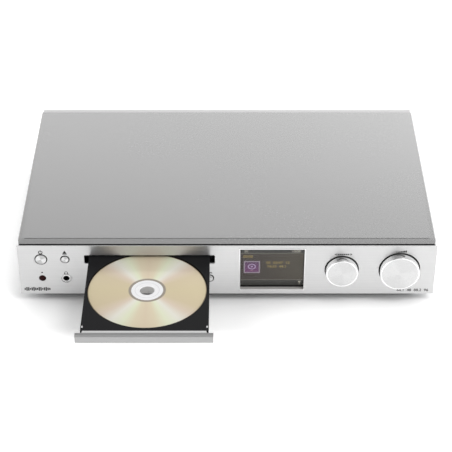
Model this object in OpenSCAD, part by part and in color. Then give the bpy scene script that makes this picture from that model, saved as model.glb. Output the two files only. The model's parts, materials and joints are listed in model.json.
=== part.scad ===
// CD player with a radio display: a full-width audio separate with a front-loading disc drawer.
// Units are millimetres. X runs along the front, Y from front to back, and Z up.
// Inside the modules, Y is 0 at the fascia's front face and Z is 0 at the fascia's lower edge.
// place() then moves a piece to the part's own frame, whose origin is on the table, under the
// middle of the whole player with its drawer open.

/* [Case] */
// Width of the fascia and cover
case_w = 435; // [435:1:525]
// Height of the fascia
case_h = 62.5; // [60:0.5:80]
// Depth from the fascia's front face to the back of the rear panel
case_d = 271.5; // [255:0.5:330]
// Thickness of the steel sheet of the cover, chassis and rear panel
sheet_t = 1; // [0.6:0.1:1.5]
// Gap between folded sheets that lie inside each other
sheet_gap = 0.2; // [0.1:0.05:0.4]
// Outer bend radius along the cover's long edges
cover_bend = 1.5; // [1.3:0.1:1.5]
// Depth of the strip of rear panel flange that the cover leaves bare
rear_strip = 7.5; // [4:0.5:12]
// Height of the feet
foot_h = 9; // [6:0.5:14]
// Radius of a foot
foot_r = 19; // [14:0.5:24]
// Distance from the case's sides to a foot's centre
foot_inset_x = 42; // [30:1:60]
// Distance from the front and rear to a foot's centre
foot_inset_y = 38; // [30:1:55]

/* [Fascia] */
// Thickness of the aluminium fascia plate
fascia_t = 2; // [1.5:0.1:3]
// Dark gap between the fascia plate and the cover
shadow_gap = 2.1; // [0.8:0.1:2.4]
// How far the front frame stays inside the fascia's outline in that gap
shadow_inset = 1.6; // [1:0.1:2.5]
// Depth of the plastic front frame behind the gap
frame_t = 3.3; // [3:0.1:5]
// Height of the upper row of buttons and the drawer slot above the fascia's lower edge
upper_row_z = 45.2; // [44:0.1:46]
// Height of the lower row of buttons, the infrared window and the headphone socket
lower_row_z = 20.6; // [19:0.1:22]
// Distance from the left side to the power button
left_inset = 24.2; // [22:0.1:30]
// Pitch of the columns of buttons
button_pitch = 25; // [24:0.1:27]
// Radius of the fascia's hole for the power button
power_hole_r = 6.7; // [6:0.1:8]
// Radius of the fascia's holes for the small buttons
small_hole_r = 4.9; // [4.5:0.1:6]
// Width of the dark ring between a button and its hole
button_ring = 0.9; // [0.6:0.1:1.2]
// How far the buttons stand out of the fascia
button_out = 0.7; // [0.5:0.1:2.5]
// Travel of the buttons
button_travel = 0.5; // [0.3:0.1:0.6]
// Radius of the infrared window
ir_r = 3.7; // [3:0.1:5]
// Radius of the headphone socket's hole, for a 6.35 mm plug
jack_r = 3.25; // [3.2:0.01:3.3]
// Outer radius of the headphone socket's ring
jack_ring_r = 6; // [5.5:0.1:7]

/* [Display] */
// Width of the display's bright frame
bezel_w = 69.5; // [60:0.5:72]
// Height of the display's bright frame
bezel_h = 55; // [45:0.5:55]
// Width of the frame's face
bezel_face = 1.4; // [1:0.1:2.5]
// How far the window lies behind the fascia's front
window_depth = 4.4; // [3:0.1:5]
// How far the frame stands out of the fascia
bezel_out = 0.3; // [0.1:0.1:1]

/* [Knobs] */
// Height of the knobs' axes above the fascia's lower edge
knob_z = 31.9; // [30:0.1:33]
// Distance from the right side to the volume knob's axis
volume_inset = 37.5; // [30:0.1:45]
// Distance between the two knobs' axes
knob_gap = 60.2; // [55:0.1:70]
// Radius of the volume knob
volume_r = 20.6; // [17:0.1:21]
// Radius of the tuning knob
tuning_r = 16.8; // [14:0.1:18]
// Width of the dark ring round each knob
knob_ring = 1.1; // [0.8:0.1:2]
// How far the knobs stand out of the fascia
knob_out = 8; // [5:0.1:12]
// Radius of the knobs' shafts
shaft_r = 3; // [2:0.1:3.5]
// Travel of the tuning knob when it is pressed
push_travel = 0.5; // [0.3:0.1:0.6]

/* [Drawer] */
// Distance from the eject button's axis to the middle of the drawer
tray_inset = 87.9; // [87:0.1:92]
// Diameter of the disc
disc_d = 120; // [100:1:120]
// Thickness of the disc
disc_t = 1.2; // [1.1:0.1:1.3]
// Radius of the disc's centre hole
hub_r = 7.5; // [7.5:0.1:8]
// Width of the tray beyond the disc on each side
tray_margin = 2.6; // [2:0.1:4]
// Distance that the drawer slides
travel = 128; // [110:1:130]
// Gap round the drawer's front in its slot
slot_gap = 0.6; // [0.4:0.1:1]
// Height of the slot in the fascia
slot_h = 10.8; // [10.8:0.1:12]
// Width of the slot beyond the tray on each side
slot_margin = 5.3; // [4:0.1:6]
// Thickness of the drawer's front bar
bar_t = 4; // [3:0.1:5]
// Length of the tray behind its front bar
tray_l = 157; // [150:1:165]
// Running gap between the tray and its guides
guide_gap = 0.3; // [0.2:0.05:0.5]

/* [Loader] */
// Module of the rack and of the gear that drives it
rack_module = 1; // [0.8:0.1:1.1]
// Number of teeth of the gear on the rack
rack_gear_teeth = 20; // [16:1:22]
// Module of the reduction gears
wheel_module = 0.8; // [0.7:0.1:0.9]
// Number of teeth of the reduction wheel
wheel_teeth = 36; // [30:2:38]
// Number of teeth of the pinion on the belt pulley
pinion_teeth = 14; // [13:1:16]
// Play between meshing teeth, along the pitch circle
tooth_play = 0.24; // [0.15:0.01:0.3]
// Radius of the large belt pulley
pulley_r = 13; // [11:0.5:14]
// Radius of the motor's pulley
motor_pulley_r = 3; // [2.5:0.1:4]
// Angle by which the traverse lies below its playing position
tilt = 3.5; // [3:0.1:4]
// Distance from the spindle to the axis that the traverse tilts about
tilt_reach = 86; // [84:1:90]
// Radius on the disc at which the pickup starts
pickup_start = 25; // [24:0.5:27]
// Running clearance of shafts in their bushes
shaft_gap = 0.05; // [0.02:0.01:0.1]

/* [Hidden] */
$fn = 64;
eps = 0.01;

// Case levels and places
cover_front = fascia_t + shadow_gap;
frame_back = cover_front + frame_t;
inner_half_w = case_w / 2 - sheet_t - sheet_gap;
inner_top = case_h - sheet_t - sheet_gap;
crease_y = cover_front + 9.9;
crease_end = 7;
chassis_front = frame_back + 0.3;
chassis_lip = 14;
rear_flange = rear_strip + 14;
cover_back = case_d - rear_strip;

// Rear sockets
socket_out = 9.5;
rear_socket_z = 28;
shoulder_rim = 1;
shoulder_out = 0.6;
socket_gap = 0.2;
inlet_x = 37 - case_w / 2;
inlet_pin_x = 4.3;
inlet_r = 5.6;
inlet_hole_r = 3.9;
inlet_deep = 12;
line_out_x = 20;
line_out_pitch = 15;
line_out_r = 4.15;
line_out_l = 8;
line_out_core_r = 1.75;
antenna_x = case_w / 2 - 60;
antenna_r = 4.75;
antenna_core_r = 1.5;

// The part's frame: Y is 0 halfway between the open drawer's front and the rear sockets' ends
rear_end = case_d + socket_out;
drawer_reach = travel;
front_y = (drawer_reach - rear_end) / 2;

// Button columns and rows
power_x = left_inset - case_w / 2;
eject_x = power_x + button_pitch;
tray_x = eject_x + tray_inset;
next_x = eject_x + 6 * button_pitch;
power_cap_r = power_hole_r - button_ring;
small_cap_r = small_hole_r - button_ring;
cap_gap = 0.2;
flange_t = 1.2;
flange_rim = 1;
board_y = frame_back + 7.6;
board_t = 1.6;
switch_size = 6;
switch_body = 3.5;
switch_tip = 0.7;
switch_stem_r = 1.75;
led_r = 0.8;
led_z = lower_row_z + 7.3;

// Knobs and display
volume_x = case_w / 2 - volume_inset;
tuning_x = volume_x - knob_gap;
knob_back = fascia_t - 1;
knob_wall = 2;
knob_edge = 0.7;
encoder_w = 12;
encoder_t = 5.5;
encoder_front = board_y - encoder_t;
bush_r = shaft_r + 1.5;
plunger_t = 1.5;
display_x = tuning_x - 72.6;
display_z = case_h / 2 + 0.6;
window_w = bezel_w - 2 * bezel_face;
window_h = bezel_h - 2 * bezel_face;
window_t = 1.5;
module_y = window_depth + window_t + 0.3;

// Drawer levels: the disc lies in a recess of the tray
disc_r = disc_d / 2;
tray_w = disc_d + 2 * tray_margin;
tray_half = tray_w / 2;
tray_top = upper_row_z + 3.9;
tray_bottom = tray_top - 8.3;
plate_bottom = tray_top - 5;
recess_floor = tray_top - 3;
disc_bottom = recess_floor + 0.3;
small_disc_r = 40.7;
small_recess = 1;
disc_gap = 0.7;
bar_w = tray_w + 2 * slot_margin - 2 * slot_gap;
bar_h = slot_h - 2 * slot_gap;
bar_front = -drawer_reach;
tray_front = bar_front + bar_t + 4;
tray_back = tray_front + tray_l - bar_t - 4;
disc_y = bar_front + 73.4;
rail_w = 2.5;
rail_front = tray_front + 10;
hook_y = tray_front + 6.5;
hook_w = 1.6;
hook_l = 3;
hook_in = 0.7;
hook_gap = 0.15;

// Loader
spindle_y = disc_y + travel;
wall_t = 3;
wall_in = tray_half + 2 * guide_gap;
wall_out = wall_in + wall_t;
loader_front = frame_back + 1.1;
loader_back = spindle_y + tilt_reach + 16;
deck_top = 29.5;
deck_t = 2.5;
deck_bottom = deck_top - deck_t;
wall_top = tray_top + 3;
pitch_r = rack_module * rack_gear_teeth / 2;
wheel_r = wheel_module * wheel_teeth / 2;
pinion_r = wheel_module * pinion_teeth / 2;
rack_x = tray_half - 18.6;
rack_t = 5;
gear_x = rack_x - pitch_r;
gear_y = frame_back + 17.6;
pulley_x = gear_x - wheel_r - pinion_r;
motor_x = pulley_x - 36;
motor_y = gear_y + 5;
gear_hole_r = 2;
rack_gear_z = tray_bottom + 0.3;
rack_gear_t = plate_bottom - tray_bottom - 0.6;
wheel_t = 3.4;
wheel_z = rack_gear_z - wheel_t - 1;
pulley_t = 4;
pulley_z = wheel_z - pulley_t - 1;
belt_t = 1.2;
motor_r = 10;
motor_h = 20;
bridge_t = 2.5;
bridge_w = 34;
puck_hole_r = 13;

// Traverse, in its playing position
traverse_z = 33;
traverse_t = 3;
traverse_half = 40;
traverse_front = spindle_y - 25;
pivot_y = spindle_y + tilt_reach;
pivot_z = traverse_z + traverse_t / 2;
pivot_r = 2.5;
lens_y = spindle_y + pickup_start;
sled_half = 13;
sled_travel = 33;
rod_r = 1.5;
rod_z = traverse_z + traverse_t + 2.6;
rod_left = -27;
rod_right = 23;
screw_x = 33;
feed_motor_r = 4.5;
feed_motor_l = 20;
rod_front = lens_y - sled_half - 1.5;
rod_back = lens_y + sled_travel + sled_half + 1.5;
cam_y = traverse_front - 5;
cam_t = 2.5;
cam_pin_r = 1.5;
cam_slot_r = cam_pin_r + 0.3;
cam_reach = pivot_y - cam_y - cam_t / 2;
cam_rise = cam_reach * sin(tilt);
cam_pin_z = plate_bottom - 4.3;
cam_rest_z = pivot_z + (cam_pin_z - pivot_z) * cos(tilt) - cam_rise;

// Electronics
main_board_x = 15;
main_board_w = case_w / 2 - 15 - main_board_x;
main_board_l = 130;
main_board_y = case_d - main_board_l - 14;
board_level = 9;
pillar_r = 3.5;
screw_hole_r = 1.3;
power_board_w = 52;
power_board_l = 105;
power_board_x = 10 - case_w / 2;
power_board_y = case_d - power_board_l - 14;

// Moves a piece from the fascia's corner of the world to the part's frame
module place() {
    translate([0, front_y, foot_h]) children();
}

// A box from its lowest to its highest corner
module block(low, high) {
    translate(low) cube(high - low);
}

// A cylinder along Y, from y to y + length
module rod_y(x, y, z, radius, length) {
    translate([x, y + length, z]) rotate([90, 0, 0]) cylinder(r = radius, h = length);
}

// A cylinder along X, from x to x + length
module rod_x(x, y, z, radius, length) {
    translate([x, y, z]) rotate([0, 90, 0]) cylinder(r = radius, h = length);
}

// A plate in the XZ plane with rounded corners, from y to y + depth
module round_plate(x, y, z, width, height, depth, radius) {
    translate([x, y + depth, z]) rotate([90, 0, 0]) linear_extrude(depth) {
        square([width - 2 * radius, height], center = true);
        square([width, height - 2 * radius], center = true);
        for (i = [-1, 1], k = [-1, 1])
            translate([i * (width / 2 - radius), k * (height / 2 - radius)]) circle(radius);
    }
}

// The same call for every button: its place, its hole's radius and its cap's radius
function buttons() = concat(
    [[power_x, upper_row_z, power_hole_r, power_cap_r],
     [eject_x, upper_row_z, small_hole_r, small_cap_r]],
    [for (i = [2 : 6]) [eject_x + i * button_pitch, lower_row_z, small_hole_r, small_cap_r]]
);

function foot_places() = [
    for (i = [-1, 1], y = [foot_inset_y, case_d - foot_inset_y]) [i * (case_w / 2 - foot_inset_x), y]
];

// Screws through each side of the cover into the chassis
function side_screws() = [for (i = [-1, 1], y = [60, case_d - 50]) [i, y]];

function main_pillars() = [
    for (i = [8, main_board_w - 8], j = [8, main_board_l - 8]) [main_board_x + i, main_board_y + j]
];

function power_pillars() = [
    for (i = [6, power_board_w - 6], j = [6, power_board_l - 6]) [power_board_x + i, power_board_y + j]
];

function loader_posts() = [
    for (i = [-1, 1], y = [loader_front + 16, loader_back - 6]) [tray_x + i * (wall_out - 6), y]
];

// ---- Case ----

module bottom_chassis() {
    color("lightsteelblue") place() difference() {
        union() {
            block([-inner_half_w, chassis_front, 0],
                  [inner_half_w, case_d - sheet_t - sheet_gap, sheet_t]);
            for (i = [-1, 1])
                translate([i * (inner_half_w - sheet_t / 2), chassis_front, 0])
                    translate([-sheet_t / 2, 0, 0])
                        cube([sheet_t, cover_back - chassis_front - rear_flange, chassis_lip]);
            block([-inner_half_w, chassis_front, 0],
                  [inner_half_w, chassis_front + sheet_t, chassis_lip / 3]);
            for (p = concat(main_pillars(), power_pillars()))
                translate([p[0], p[1], sheet_t - eps])
                    cylinder(r = pillar_r, h = board_level - sheet_t + eps);
        }
        for (p = concat(main_pillars(), power_pillars(), foot_places(), loader_posts()))
            translate([p[0], p[1], -1]) cylinder(r = screw_hole_r + 0.3, h = board_level + 2);
        for (s = side_screws())
            rod_x(s[0] * inner_half_w - 3, s[1], 8, screw_hole_r + 0.3, 6);
        for (i = [0 : 11])
            block([60 + i * 9, 60, -1], [64 + i * 9, 100, sheet_t + 1]);
    }
}

module cover_outline(half, top, radius) {
    translate([-half, 0]) square([2 * half, top - radius]);
    translate([radius - half, 0]) square([2 * (half - radius), top]);
    for (i = [-1, 1])
        translate([i * (half - radius), top - radius]) circle(radius);
}

module top_cover() {
    color("silver") place() difference() {
        translate([0, cover_back, 0]) rotate([90, 0, 0]) linear_extrude(cover_back - cover_front)
            difference() {
                cover_outline(case_w / 2, case_h, cover_bend);
                translate([0, -1])
                    cover_outline(case_w / 2 - sheet_t, case_h - sheet_t + 1, cover_bend - sheet_t);
            }
        block([crease_end - case_w / 2, crease_y - 1.1, case_h - 0.4],
              [case_w / 2 - crease_end, crease_y, case_h + 1]);
        for (i = [-1, 1])
            translate([i * case_w / 2, cover_front, -1])
                linear_extrude(case_h + 2) polygon([[0, -1], [0, 3.4], [-i * 1.8, -0.1], [-i * 1.8, -1]]);
        for (s = side_screws())
            rod_x(s[0] * case_w / 2 - 3, s[1], 8, screw_hole_r + 0.4, 6);
    }
}

module rear_panel() {
    color("gainsboro") place() difference() {
        union() {
            block([-inner_half_w, case_d - sheet_t, sheet_t + 0.1], [inner_half_w, case_d, inner_top]);
            block([-inner_half_w, cover_back - 14, inner_top - sheet_t], [inner_half_w, case_d, inner_top]);
            for (i = [-1, 1])
                translate([i * (inner_half_w - sheet_t / 2) - sheet_t / 2, cover_back - 14, sheet_t + 0.1])
                    cube([sheet_t, rear_flange, inner_top - 2 * sheet_t]);
        }
        inlet_outline(case_d - 3, 6, socket_gap);
        for (p = [0, 1, 2])
            rod_y(line_out_x + p * line_out_pitch, case_d - 3, rear_socket_z,
                  line_out_r + shoulder_rim + socket_gap, 6);
        rod_y(antenna_x, case_d - 3, rear_socket_z, antenna_r + shoulder_rim + socket_gap, 6);
        for (i = [0 : 15])
            round_plate(-60 - i * 5, case_d - 3, 34, 2.4, 26, 6, 1.1);
    }
}

module fascia() {
    color("whitesmoke") place() difference() {
        block([-case_w / 2, 0, 0], [case_w / 2, fascia_t, case_h]);
        round_plate(tray_x, -1, upper_row_z, tray_w + 2 * slot_margin, slot_h, fascia_t + 2, 1.6);
        round_plate(display_x, -1, display_z, bezel_w - 0.8, bezel_h - 0.8, fascia_t + 2, 0.8);
        for (b = buttons())
            rod_y(b[0], -1, b[1], b[2], fascia_t + 2);
        rod_y(volume_x, -1, knob_z, volume_r + knob_ring, fascia_t + 2);
        rod_y(tuning_x, -1, knob_z, tuning_r + knob_ring, fascia_t + 2);
        rod_y(power_x, -1, lower_row_z, ir_r + 0.1, fascia_t + 2);
        rod_y(power_x, -1, led_z, led_r + 0.1, fascia_t + 2);
        rod_y(eject_x, -1, lower_row_z, jack_r + 1.45, fascia_t + 2);
    }
}

module front_frame() {
    color("dimgray") place() difference() {
        union() {
            block([shadow_inset - case_w / 2, fascia_t, shadow_inset],
                  [case_w / 2 - shadow_inset, cover_front, case_h - shadow_inset]);
            block([-inner_half_w, cover_front, 0.5], [inner_half_w, frame_back, inner_top]);
        }
        round_plate(tray_x, 0, upper_row_z, tray_w + 2 * slot_margin, slot_h, frame_back + 2, 1.6);
        round_plate(display_x, 0, display_z, window_w + 0.8, window_h + 0.8, frame_back + 2, 0.8);
        for (b = buttons())
            rod_y(b[0], 0, b[1], b[3] + cap_gap, frame_back + 2);
        for (x = [volume_x, tuning_x])
            rod_y(x, 0, knob_z, bush_r + 0.2, frame_back + 2);
        rod_y(power_x, 0, lower_row_z, ir_r + 0.1, frame_back + 2);
        rod_y(power_x, 0, led_z, led_r + 0.1, frame_back + 2);
        rod_y(eject_x, 0, lower_row_z, jack_r + 1.45, frame_back + 2);
    }
}

module feet() {
    color("dimgray") place() for (p = foot_places())
        translate([p[0], p[1], -foot_h]) difference() {
            union() {
                cylinder(r = foot_r - 1.5, h = foot_h);
                translate([0, 0, 1.2]) cylinder(r = foot_r, h = foot_h - 1.2);
            }
            translate([0, 0, -1]) cylinder(r = 5, h = foot_h - 2);
            cylinder(r = screw_hole_r + 0.3, h = foot_h + 1);
        }
}

module foot_screws() {
    color("darkgray") place() for (p = foot_places())
        translate([p[0], p[1], -3.1 - 2]) {
            cylinder(r = 3, h = 2);
            cylinder(r = screw_hole_r, h = 9);
        }
}

module cover_screws() {
    color("darkgray") place() for (s = side_screws()) {
        low = s[0] > 0 ? case_w / 2 : -case_w / 2 - 1.4;
        rod_x(low, s[1], 8, 3, 1.4);
        rod_x(s[0] > 0 ? case_w / 2 - 6 : -case_w / 2, s[1], 8, screw_hole_r, 6);
    }
}

// ---- Display, sensor and headphone socket ----

module display_bezel() {
    color("white") place() difference() {
        union() {
            round_plate(display_x, -bezel_out, display_z, bezel_w, bezel_h, bezel_out, 1);
            round_plate(display_x, -bezel_out, display_z, bezel_w - 1, bezel_h - 1,
                        bezel_out + fascia_t, 0.8);
            round_plate(display_x, fascia_t - eps, display_z, window_w + 0.6, window_h + 0.6,
                        window_depth - fascia_t + eps, 0.8);
        }
        round_plate(display_x, -1, display_z, window_w, window_h, window_depth + 2, 0.6);
    }
}

module display_window() {
    color("slategray") place()
        round_plate(display_x, window_depth, display_z, window_w + 0.6, window_h + 0.6, window_t, 0.8);
}

module display_module() {
    color("darkolivegreen") place() {
        round_plate(display_x, module_y, display_z, window_w - 1, window_h - 1, 5, 0.5);
        round_plate(display_x, module_y + 5, display_z, window_w + 4, window_h + 1, board_t, 0.5);
    }
}

module ir_window() {
    color("maroon") place() rod_y(power_x, -0.3, lower_row_z, ir_r, frame_back + 0.3);
}

module ir_receiver() {
    color("black") place() {
        block([power_x - 3, board_y - 6.5, lower_row_z - 3.5], [power_x + 3, board_y, lower_row_z + 3.5]);
    }
}

module standby_led() {
    color("dimgray") place() rod_y(power_x, 0, led_z, led_r, board_y);
}

module headphone_jack() {
    color("black") place() difference() {
        union() {
            rod_y(eject_x, -0.4, lower_row_z, jack_r + 1.3, frame_back + 0.8);
            block([eject_x - 6.5, frame_back + 0.1, lower_row_z - 7],
                  [eject_x + 6.5, frame_back + 28, lower_row_z + 7]);
        }
        rod_y(eject_x, -1, lower_row_z, jack_r, frame_back + 27);
    }
}

module headphone_ring() {
    color("silver") place() difference() {
        rod_y(eject_x, -0.8, lower_row_z, jack_ring_r, 0.8);
        rod_y(eject_x, -1, lower_row_z, jack_r + 1.35, 3);
    }
}

// ---- Buttons ----

// A button: its cap, the flange that stops it behind the frame, and its stem
module button(x, z, radius) {
    color("silver") place() {
        rod_y(x, -button_out, z, radius, button_out + frame_back + 0.3);
        rod_y(x, frame_back + 0.3, z, radius + flange_rim, flange_t);
        rod_y(x, frame_back + 0.3, z, 2, board_y - switch_body - switch_tip - 2.3 * button_travel + 0.3
              - frame_back - 0.3);
    }
}

module power_button() { button(power_x, upper_row_z, power_cap_r); }
module eject_button() { button(eject_x, upper_row_z, small_cap_r); }
module menu_button() { button(eject_x + 2 * button_pitch, lower_row_z, small_cap_r); }
module stop_button() { button(eject_x + 3 * button_pitch, lower_row_z, small_cap_r); }
module previous_button() { button(eject_x + 4 * button_pitch, lower_row_z, small_cap_r); }
module play_button() { button(eject_x + 5 * button_pitch, lower_row_z, small_cap_r); }
module next_button() { button(next_x, lower_row_z, small_cap_r); }

module tact_switches() {
    color("dimgray") place() for (b = buttons()) {
        block([b[0] - switch_size / 2, board_y - switch_body, b[1] - switch_size / 2],
              [b[0] + switch_size / 2, board_y, b[1] + switch_size / 2]);
        rod_y(b[0], board_y - switch_body - switch_tip, b[1], switch_stem_r, switch_tip + 1);
    }
}

module control_board() {
    color("seagreen") place() difference() {
        union() {
            block([10 - case_w / 2, board_y, 8], [next_x + 8, board_y + board_t, deck_bottom - 1]);
            block([10 - case_w / 2, board_y, 8], [tray_x - wall_out - 3, board_y + board_t, 54]);
        }
        block([eject_x - 6.8, board_y - 1, lower_row_z - 7.3],
              [eject_x + 6.8, board_y + board_t + 1, lower_row_z + 7.3]);
    }
}

// ---- Knobs ----

// A hollow turned knob that stands in a round hole of the fascia
module knob(x, radius) {
    color("whitesmoke") place() translate([x, knob_back, knob_z]) rotate([90, 0, 0]) rotate_extrude()
        polygon([
            [shaft_r + 0.01, 0.5], [shaft_r + 0.01, knob_out - 2], [0, knob_out - 2],
            [0, knob_out + knob_back], [radius - knob_edge, knob_out + knob_back],
            [radius, knob_out + knob_back - knob_edge], [radius, 0], [radius - knob_wall, 0],
            [radius - knob_wall, knob_out - 2], [shaft_r + 2.5, knob_out - 2], [shaft_r + 2.5, 0.5]
        ]);
}

module tuning_knob() { knob(tuning_x, tuning_r); }
module volume_knob() { knob(volume_x, volume_r); }

// A shaft from inside its knob to the back of its encoder's bush
module knob_shaft(x, back) {
    color("gray") place()
        rod_y(x, knob_back - knob_out + 2.2, knob_z, shaft_r, back - knob_back + knob_out - 2.2);
}

module tuning_shaft() { knob_shaft(tuning_x, board_y - plunger_t - push_travel - 0.9); }
module volume_shaft() { knob_shaft(volume_x, board_y - 1); }

// The button at the end of the tuning shaft that closes its switch
module tuning_plunger() {
    color("ivory") place()
        rod_y(tuning_x, board_y - plunger_t - push_travel - 0.6, knob_z, shaft_r + 0.8, plunger_t);
}

module encoder(x) {
    block([x - encoder_w / 2, encoder_front, knob_z - encoder_w / 2],
          [x + encoder_w / 2, board_y, knob_z + encoder_w / 2]);
    rod_y(x, fascia_t + 0.6, knob_z, bush_r, encoder_front - fascia_t);
}

module tuning_encoder() {
    color("darkgray") place() difference() {
        encoder(tuning_x);
        rod_y(tuning_x, 0, knob_z, shaft_r + shaft_gap, board_y);
        rod_y(tuning_x, board_y - plunger_t - push_travel - 0.9, knob_z, shaft_r + 1.1,
              plunger_t + push_travel + 0.6);
    }
}

module volume_encoder() {
    color("darkgray") place() difference() {
        encoder(volume_x);
        rod_y(volume_x, 0, knob_z, shaft_r + shaft_gap, board_y - 0.6);
    }
}

module knob_board() {
    color("seagreen") place()
        block([tuning_x - 15, board_y, knob_z - 16], [volume_x + 15, board_y + board_t, knob_z + 16]);
}

// ---- Drawer ----

// A tooth's half angle at radius r, for a gear of the given pitch and base radii
function roll(base, r) = r <= base ? 0 : sqrt(pow(r / base, 2) - 1);
function involute_angle(base, r) = roll(base, r) * 180 / PI - atan(roll(base, r));
function half_angle(teeth, pitch, r) =
    90 / teeth - tooth_play / 4 / pitch * 180 / PI
    + involute_angle(pitch * cos(20), pitch) - involute_angle(pitch * cos(20), r);
function on_circle(r, a) = [r * cos(a), r * sin(a)];

// A spur gear's outline with involute flanks and a tooth centred on +X
module gear_outline(teeth, size) {
    pitch = teeth * size / 2;
    root = pitch - 1.15 * size;
    tip = pitch + 0.85 * size;
    base = max(root, pitch * cos(20));
    radii = [root, base + 0.01, pitch, tip];
    corners = [for (side = [-1, 1], k = [0 : 3]) [radii[side < 0 ? k : 3 - k], side]];
    polygon([
        for (i = [0 : teeth - 1], c = corners)
            on_circle(c[0], i * 360 / teeth + c[1] * half_angle(teeth, pitch, c[0]))
    ]);
}

// The tray's rack: teeth that point towards -X, with a gap at the drive gear's middle
module rack(low, high) {
    step = PI * rack_module;
    half = step / 4 - tooth_play / 4;
    slope = tan(20);
    first = ceil((low - gear_y) / step);
    last = floor((high - gear_y) / step) - 1;
    block([rack_x + 1.15 * rack_module, low, 0], [rack_x + rack_t, high, plate_bottom - tray_bottom]);
    linear_extrude(plate_bottom - tray_bottom)
        for (i = [first : last])
            translate([rack_x, gear_y + (i + 0.5) * step]) polygon([
                [-0.85 * rack_module, half - 0.85 * rack_module * slope],
                [1.16 * rack_module, half + 1.15 * rack_module * slope],
                [1.16 * rack_module, -half - 1.15 * rack_module * slope],
                [-0.85 * rack_module, 0.85 * rack_module * slope - half]
            ]);
}

module disc_tray() {
    color("#26262a") place() translate([tray_x, 0, 0]) difference() {
        union() {
            block([-tray_half, tray_front, plate_bottom], [tray_half, tray_back, tray_top]);
            for (i = [-1, 1])
                translate([i * (tray_half - rail_w / 2) - rail_w / 2, rail_front, tray_bottom])
                    cube([rail_w, tray_back - rail_front, plate_bottom - tray_bottom + eps]);
            translate([0, 0, tray_bottom]) rack(rail_front - 4, tray_back - 1);
        }
        translate([0, disc_y, recess_floor]) cylinder(r = disc_r + disc_gap, h = 10);
        translate([0, disc_y, recess_floor - small_recess]) cylinder(r = small_disc_r, h = 10);
        translate([0, disc_y, 0]) cylinder(r = 20, h = tray_top);
        block([-20, disc_y, 0], [20, disc_y + disc_r - 4, tray_top]);
        for (i = [-1, 1])
            translate([i * (tray_half - hook_in - hook_w / 2), hook_y, 0])
                block([-hook_w / 2 - hook_gap, -hook_l / 2 - hook_gap, 0],
                      [hook_w / 2 + hook_gap, hook_l / 2 + hook_gap, tray_top + 1]);
    }
}

// The silver front of the drawer: a bar, a ledge that covers the tray's front edge and two hooks
module drawer_front() {
    color("silver") place() translate([tray_x, 0, 0]) {
        bar_low = upper_row_z - bar_h / 2;
        bar_high = upper_row_z + bar_h / 2;
        translate([-bar_w / 2, 0, 0]) rotate([90, 0, 90]) linear_extrude(bar_w) polygon([
            [bar_front, bar_low], [bar_front + bar_t, bar_low], [bar_front + bar_t, bar_high],
            [bar_front + 0.9, bar_high], [bar_front, bar_high - 2.2]
        ]);
        translate([0, 0, plate_bottom]) linear_extrude(tray_top - plate_bottom + 0.2) polygon([
            [-tray_half + 1.2, bar_front + bar_t - 0.5], [tray_half - 1.2, bar_front + bar_t - 0.5],
            [tray_half - 2.4, tray_front - 0.1], [-tray_half + 2.4, tray_front - 0.1]
        ]);
        for (i = [-1, 1])
            translate([i * (tray_half - hook_in - hook_w / 2) - hook_w / 2, 0, 0]) {
                block([0, bar_front + bar_t - 0.5, tray_bottom + 0.3],
                      [hook_w, hook_y + hook_l / 2, plate_bottom - 0.2]);
                block([0, hook_y - hook_l / 2, tray_bottom + 0.3],
                      [hook_w, hook_y + hook_l / 2, tray_top - 0.2]);
            }
    }
}

module compact_disc() {
    color("khaki") place() translate([tray_x, disc_y, disc_bottom]) difference() {
        cylinder(r = disc_r, h = disc_t);
        translate([0, 0, -1]) cylinder(r = hub_r, h = disc_t + 2);
    }
}

// ---- Disc loader ----

module loader_frame() {
    color("#3a3a40") place() translate([tray_x, 0, 0]) difference() {
        union() {
            for (i = [-1, 1]) {
                translate([i * (wall_in + wall_t / 2) - wall_t / 2, loader_front, deck_bottom])
                    cube([wall_t, loader_back - loader_front, wall_top - deck_bottom]);
                translate([i * (wall_in - 2.6) - 2.6, loader_front, tray_bottom - guide_gap - 2])
                    cube([5.2, loader_back - loader_front, 2]);
                for (y = [loader_front + 4, spindle_y + 22, loader_back - 12])
                    translate([i * (wall_in - 1.9) - 1.9, y, tray_top + guide_gap])
                        cube([3.8, 9, wall_top - tray_top - guide_gap]);
                translate([i * (traverse_half + 3.6) - 1.6, pivot_y - 5, deck_bottom])
                    cube([3.2, 10, pivot_z + 5 - deck_bottom]);
            }
            block([-wall_out, loader_front, deck_bottom], [wall_out, loader_back, deck_top]);
            for (p = loader_posts())
                translate([p[0] - tray_x, p[1], sheet_t]) cylinder(r = 4.5, h = deck_bottom - sheet_t + 1);
            for (y = [cam_y - 1.2, cam_y + cam_t + 0.3])
                block([-cam_rise - 7, y, deck_top - eps], [cam_rise + 7, y + 0.9, deck_top + 1.6]);
            translate([gear_x, gear_y, deck_top - eps]) cylinder(r = 4, h = wheel_z - 0.2 - deck_top);
            translate([gear_x, gear_y, deck_top])
                cylinder(r = gear_hole_r - shaft_gap, h = rack_gear_z + rack_gear_t - deck_top);
            translate([pulley_x, gear_y, deck_top - eps]) cylinder(r = 4, h = pulley_z - 0.2 - deck_top);
            translate([pulley_x, gear_y, deck_top])
                cylinder(r = gear_hole_r - shaft_gap, h = wheel_z + wheel_t - deck_top);
        }
        block([-traverse_half - 1.8, traverse_front - 2, 0],
              [traverse_half + 1.8, loader_back - 4, deck_top + 1]);
        translate([motor_x, motor_y, 0]) cylinder(r = 3.4, h = deck_top + 1);
        for (i = [-1, 1])
            rod_x(i * (traverse_half + 3.6) - 4, pivot_y, pivot_z, pivot_r + shaft_gap, 8);
        for (p = loader_posts())
            translate([p[0] - tray_x, p[1], 0]) cylinder(r = screw_hole_r, h = 14);
    }
}

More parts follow.
